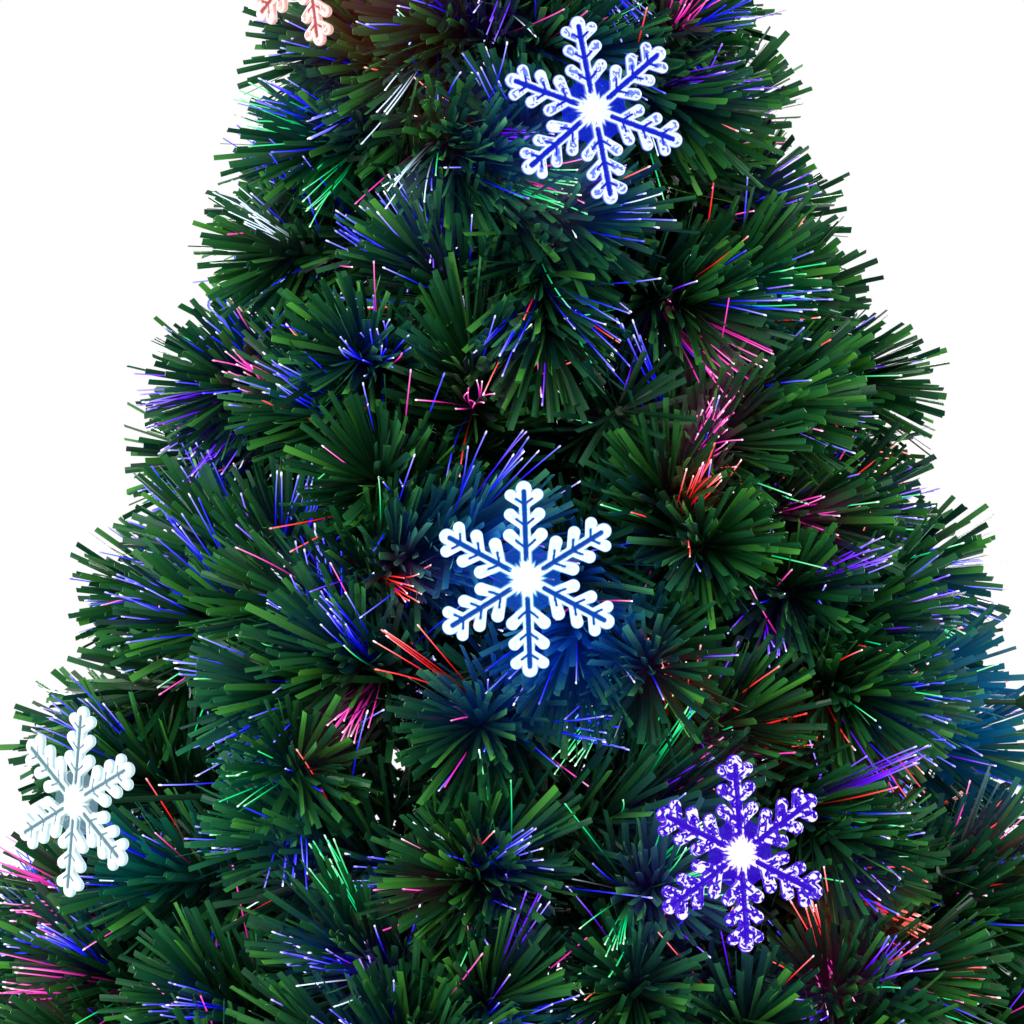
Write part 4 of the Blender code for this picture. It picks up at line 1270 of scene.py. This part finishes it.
# %% Join the capsules into one skin
def add_capsule(shape, start, end, radius, girth, turn):
    """A rounded bar between two points of the plan, flattened to the snowflake's thickness."""
    start, end = Vector((*start, 0)) * FLAKE_RADIUS, Vector((*end, 0)) * FLAKE_RADIUS
    radius = radius * FLAKE_RADIUS
    made = bmesh.ops.create_uvsphere(shape, u_segments=20, v_segments=12, radius=radius)["verts"]
    run = end - start
    for corner in made:
        if corner.co.x < 0:
            corner.co.xy *= girth
        corner.co.x += math.copysign(run.length / 2, corner.co.x)
        height = corner.co.z * FLAKE_CROWN * FLAKE_HALF / radius
        corner.co.z = max(-FLAKE_HALF, min(FLAKE_HALF, height))
    place = Matrix.Translation((start + end) / 2) @ run.to_track_quat("X", "Z").to_matrix().to_4x4()
    bmesh.ops.transform(shape, matrix=Matrix.Rotation(turn, 4, "Z") @ place, verts=made)


def add_ring(shape, inner, outer, half):
    """A flat ring round the hub's hole, with its radii as shares of the snowflake's."""
    inner, outer = inner * FLAKE_RADIUS, outer * FLAKE_RADIUS
    profile = [(inner, -half), (outer, -half), (outer, half), (inner, half)]
    corners = [shape.verts.new((radius, 0, height)) for radius, height in profile]
    edges = [shape.edges.new((corners[i], corners[i - 1])) for i in range(len(corners))]
    turn = {"cent": (0, 0, 0), "axis": (0, 0, 1), "angle": math.tau, "steps": 48}
    bmesh.ops.spin(shape, geom=corners + edges, use_merge=True, **turn)


def flake_skin():
    shape = bmesh.new()
    add_ring(shape, HUB_HOLE_SHARE, WEB_RADIUS, WEB_HALF)
    add_ring(shape, HUB_HOLE_SHARE, HUB_RADIUS, FLAKE_HALF)
    for arm in range(6):
        for start, end, width, girth in arm_lines():
            add_capsule(shape, start, end, width, girth, arm * math.tau / 6)
    piece = finished("flake_skin", shape)
    skin = piece.modifiers.new("skin", "REMESH")
    skin.mode = "VOXEL"
    skin.voxel_size = VOXEL
    soft = piece.modifiers.new("soft", "SMOOTH")
    soft.factor = 0.5
    soft.iterations = 2
    settle(piece)
    mesh = piece.data
    bpy.data.objects.remove(piece)
    return mesh


# %% Press the grooves and mark what is bright
def line_gap(points, start, end):
    """Distances from a line of the plan, as shares of the radius, and places along it."""
    start, end = np.array(start), np.array(end)
    run = end - start
    places = np.clip((points - start) @ run / (run @ run), 0, 1)
    return np.linalg.norm(points - start - places[:, None] * run, axis=1), places


def turned_lines(lines):
    """The lines of one arm, repeated for all six."""
    for arm in range(6):
        turn = arm * math.tau / 6
        spin = np.array([[math.cos(turn), -math.sin(turn)], [math.sin(turn), math.cos(turn)]])
        for start, end, *rest in lines:
            yield (spin @ np.array(start), spin @ np.array(end), *rest)


def smooth_step(values, low, high):
    share = np.clip((values - low) / (high - low), 0, 1)
    return share * share * (3 - 2 * share)


def depth_in_arms(plan):
    """0 on the middle line of the nearest spine or lobe, and 1 at its edge."""
    depth = np.full(len(plan), 9.0)
    for start, end, width, girth in turned_lines(arm_lines()):
        gap, places = line_gap(plan, start, end)
        depth = np.minimum(depth, gap / (width * (girth + (1 - girth) * places)))
    return depth


def hub_edge(angles):
    """The jagged edge of the bright hub, in shares of the radius."""
    rays = 0.5 * np.sin(17 * angles + 1) + 0.35 * np.sin(29 * angles + 2) + 0.15 * np.sin(47 * angles)
    return HUB_RADIUS + HUB_RAYS * rays


def carve_flake(mesh):
    """Presses the grooves in and stores where the body, its rims, the hub and the web are."""
    points = mesh_points(mesh)
    plan = points[:, :2] / FLAKE_RADIUS
    press = np.zeros(len(plan))
    for start, end, width in turned_lines(vein_lines()):
        press = np.maximum(press, 1 - smooth_step(line_gap(plan, start, end)[0] / width, 0.8, 1.7))
    spines = [line_gap(plan, start, end)[0] for start, end, _ in turned_lines(vein_lines()[:1])]
    beside = np.min(spines, axis=0) / GROOVE_HALF_WIDTH
    depth = depth_in_arms(plan)
    radius = np.linalg.norm(plan, axis=1)
    edge = hub_edge(np.arctan2(plan[:, 1], plan[:, 0]))
    spine_rim = smooth_step(beside, 1.3, 1.8) * (1 - smooth_step(beside, 2.2, 2.9))
    rim = np.maximum(spine_rim, smooth_step(depth, 0.5, 0.72)) * (1 - press)
    points[:, 2] *= 1 - 0.42 * press
    mesh.vertices.foreach_set("co", points.ravel())
    inner = 1 - EDGE_FADE * smooth_step(depth, 0.78, 0.98)
    store(mesh, "body", (1 - press) * inner * (1 - smooth_step(depth, 1.02, 1.15)))
    store(mesh, "rim", rim)
    store(mesh, "core", 1 - smooth_step(radius, edge - HUB_FADE / 2, edge + HUB_FADE / 2))
    store(mesh, "web", smooth_step(depth, 1.02, 1.2) * smooth_step(radius, 0.16, 0.2))
    mesh.shade_smooth()


FLAKE_MESH = flake_skin()
carve_flake(FLAKE_MESH)
print("snowflake", len(FLAKE_MESH.polygons), "faces")

# %% Snowflake finishes
FLAKE_GLOW = 1.05
FACET_SCALE = 240.0
ICE = (0.85, 0.93, 1.0)
FLAKE_LOOKS = (  # deep, middle and bright colours, fill of the lobes, sparkle, rim, light, spin in degrees
    ((0.0, 0.012, 0.55), (0.12, 0.22, 0.95), ICE, 0.8, 0.3, 0.9, (0.0, 0.012, 0.2), 11),
    ((0.0, 0.05, 0.38), (0.1, 0.5, 0.95), (0.93, 1.0, 1.0), 0.92, 0.15, 1.0, (0.0, 0.06, 0.75), 2),
    ((0.03, 0.0, 0.55), (0.1, 0.0, 0.8), (0.98, 0.9, 1.0), 0.42, 0.62, 0.4, (0.02, 0.0, 0.16), 4),
    ((0.12, 0.24, 0.3), (0.6, 0.85, 0.9), (0.96, 1.0, 1.0), 0.95, 0.12, 1.0, (0.0, 0.13, 0.12), -7),
    ((0.45, 0.06, 0.06), (0.9, 0.5, 0.45), (1.0, 0.9, 0.88), 0.8, 0.35, 0.8, (0.1, 0.004, 0.002), 10),
    ((0.0, 0.1, 0.45), (0.05, 0.5, 0.9), (0.85, 0.98, 1.0), 0.85, 0.2, 0.9, (0.0, 0.07, 0.24), 15),
    ((0.0, 0.18, 0.03), (0.06, 0.6, 0.14), (0.85, 1.0, 0.88), 0.6, 0.45, 0.7, (0.002, 0.09, 0.012), 0),
    ((0.0, 0.012, 0.55), (0.12, 0.22, 0.95), ICE, 0.8, 0.3, 0.9, (0.0, 0.01, 0.15), 20),
    ((0.03, 0.0, 0.55), (0.1, 0.0, 0.8), (0.98, 0.9, 1.0), 0.45, 0.6, 0.4, (0.01, 0.0, 0.12), 8),
    ((0.4, 0.01, 0.01), (0.85, 0.15, 0.1), (1.0, 0.85, 0.82), 0.65, 0.45, 0.7, (0.1, 0.004, 0.002), 12),
    ((0.0, 0.05, 0.38), (0.1, 0.5, 0.95), (0.93, 1.0, 1.0), 0.9, 0.15, 1.0, (0.0, 0.025, 0.19), 0),
)


def flake_finish(number, deep, middle, bright, fill, sparkle, rims):
    """Clear plastic lit from the hub: deep in the grooves, bright on the rims and lobes."""
    lit = {"Specular IOR Level": 0.12, "Emission Strength": FLAKE_GLOW}
    material, shader, start = new_finish(f"lit_snowflake_{number:02d}", 0.2, constants=lit)
    body, rim, core, web = (point_value(start, name) for name in ("body", "rim", "core", "web"))
    patches = ramp_value(start, object_noise(start, FACET_SCALE, 1.0, 2.0), 0.43, 0.57)
    inside = (patches * 2 - 1) * sparkle + fill
    level = (inside + rim * rims * (1 - inside)) * body
    level = start.sum("MAXIMUM", level, core)
    colour = ramp(start, level, ((0.1, deep), (0.5, middle), (0.86, bright)))
    start.plug(colour * 0.06, shader.inputs["Base Color"])
    start.plug(colour, shader.inputs["Emission Color"])
    start.plug(0.97 - web * 0.35, shader.inputs["Alpha"])
    return material


# %% Place the snowflakes and their lamps
LAMP_FINISH = moulded("lamp_holder_plastic", (0.01, 0.05, 0.02), 0.4)
LED_RADIUS = 2.4 * MM
HOLDER_SETBACK = 2.4 * MM
CAP_SEAT = 2.3 * MM
CAP_LIP = 0.3 * MM
CAP_RADIUS = 3.7 * MM
CAP_RISE = 2.2 * MM
CAP_TURNS = np.radians((0, 20, 40, 60, 75))
# Radius and distance in mm: of the holder behind its face, and of the grommet from the trunk's axis.
HOLDER_PROFILE = (
    (0, 0.2), (7.6, 0.2), (8, 0.8), (8, 2), (6, 2.6), (6, 9), (5.2, 11), (3, 15), (1.5, 17),
)
GROMMET_PROFILE = ((1.5, 19), (4.6, 19), (4.8, 16.6), (0, 16.6))


def facing(axis, spin):
    """A turn that points Z along the axis and Y up, then spins about the axis."""
    axis = Vector(axis)
    side = Vector((0, 0, 1)).cross(axis)
    turn = Matrix((side, (0, 0, 1), axis)).transposed()
    return (turn @ Matrix.Rotation(math.radians(spin), 3, "Z")).to_4x4()


def bulb_finish():
    """A lit clear dome: it looks white, and gives its colour to the snowflake alone."""
    dome = {"Base Color": (0.2, 0.2, 0.2), "Emission Color": (1.0, 1.0, 1.0), "Emission Strength": 1.3}
    return new_finish("lit_lamp_dome", 0.3, constants=dome)[0]


BULB_FINISH = bulb_finish()


def add_lamp(number, hub, axis):
    """The green stem, the holder with its rim, and the lit dome in the snowflake's hub."""
    reach = math.hypot(hub[0], hub[1])
    seat = reach - HOLDER_SETBACK
    profile = [(radius * MM, seat - back * MM) for radius, back in HOLDER_PROFILE]
    profile += [(radius * MM, place * MM) for radius, place in GROMMET_PROFILE]
    holder = turned(f"lamp_holder_{number:02d}", profile, 24)
    holder.matrix_world = Matrix.Translation((0, 0, hub[2])) @ facing(axis, 0)
    dress(holder, LAMP_FINISH, "tree", "led_holder_plastic", f"led_lamp_{number:02d}")
    crown = CAP_SEAT + CAP_LIP
    profile = [(0, -CAP_SEAT), (LED_RADIUS, -CAP_SEAT), (LED_RADIUS, CAP_SEAT), (CAP_RADIUS, CAP_SEAT)]
    profile += [(CAP_RADIUS * math.cos(t), crown + CAP_RISE * math.sin(t)) for t in CAP_TURNS]
    bulb = turned(f"lamp_dome_{number:02d}", [*profile, (0, crown + CAP_RISE)], 24)
    bulb.matrix_world = Matrix.Translation(hub) @ facing(axis, 0)
    dress(bulb, BULB_FINISH, "tree", "clear_acrylic")


for number, (hub, axis, look) in enumerate(zip(FLAKE_HUBS, FLAKE_AXES, FLAKE_LOOKS), 1):
    deep, middle, bright, fill, sparkle, rims, light, spin = look
    name = f"snowflake_{number:02d}"
    flake = new_object(f"lit_{name}", FLAKE_MESH.copy())
    flake.matrix_world = Matrix.Translation(hub) @ facing(axis, spin)
    finish = flake_finish(number, deep, middle, bright, fill, sparkle, rims)
    dress(flake, finish, name, "clear_acrylic", name)
    add_lamp(number, hub, axis)
print(FLAKE_COUNT, "snowflakes lit")

# %% [markdown]
# A lit snowflake and a bunch of lit fibres throw their colour on the needles round them. Eleven
# small lamps would do this, but they would also light the snowflakes and leave noise in a short
# render. Each needle stores what reaches it instead, and gives that off as faint emission.

# %% The colour that snowflakes and bunches throw on the needles
FLAKE_CAST_REACH = 42 * MM
FLAKE_CAST_SINK = 22 * MM
BUNCH_CAST_REACH = 14 * MM
BUNCH_CAST = 0.055
CAST_CUT = 2.4


def cast_on(mesh, sources):
    """Adds up each source's colour at a mesh's points, falling off over the source's reach."""
    points = mesh_points(mesh)
    light = np.zeros((len(points), 4))
    light[:, 3] = 1
    for place, colour, reach in sources:
        near = np.flatnonzero((np.abs(points - place) < reach * CAST_CUT).all(axis=1))
        gap = np.linalg.norm(points[near] - place, axis=1) / reach
        light[near, :3] += np.exp(-gap * gap)[:, None] * colour
    store(mesh, "cast", light)


lit_places = FLAKE_HUBS - FLAKE_AXES * FLAKE_CAST_SINK
sources = [(place, np.array(look[6]), FLAKE_CAST_REACH) for place, look in zip(lit_places, FLAKE_LOOKS)]
sources += [(place, colour * BUNCH_CAST, BUNCH_CAST_REACH) for place, colour in BUNCH_GLOWS]
for piece in TUFTED:
    cast_on(piece.data, sources)
print(len(sources), "places throw colour on the needles")
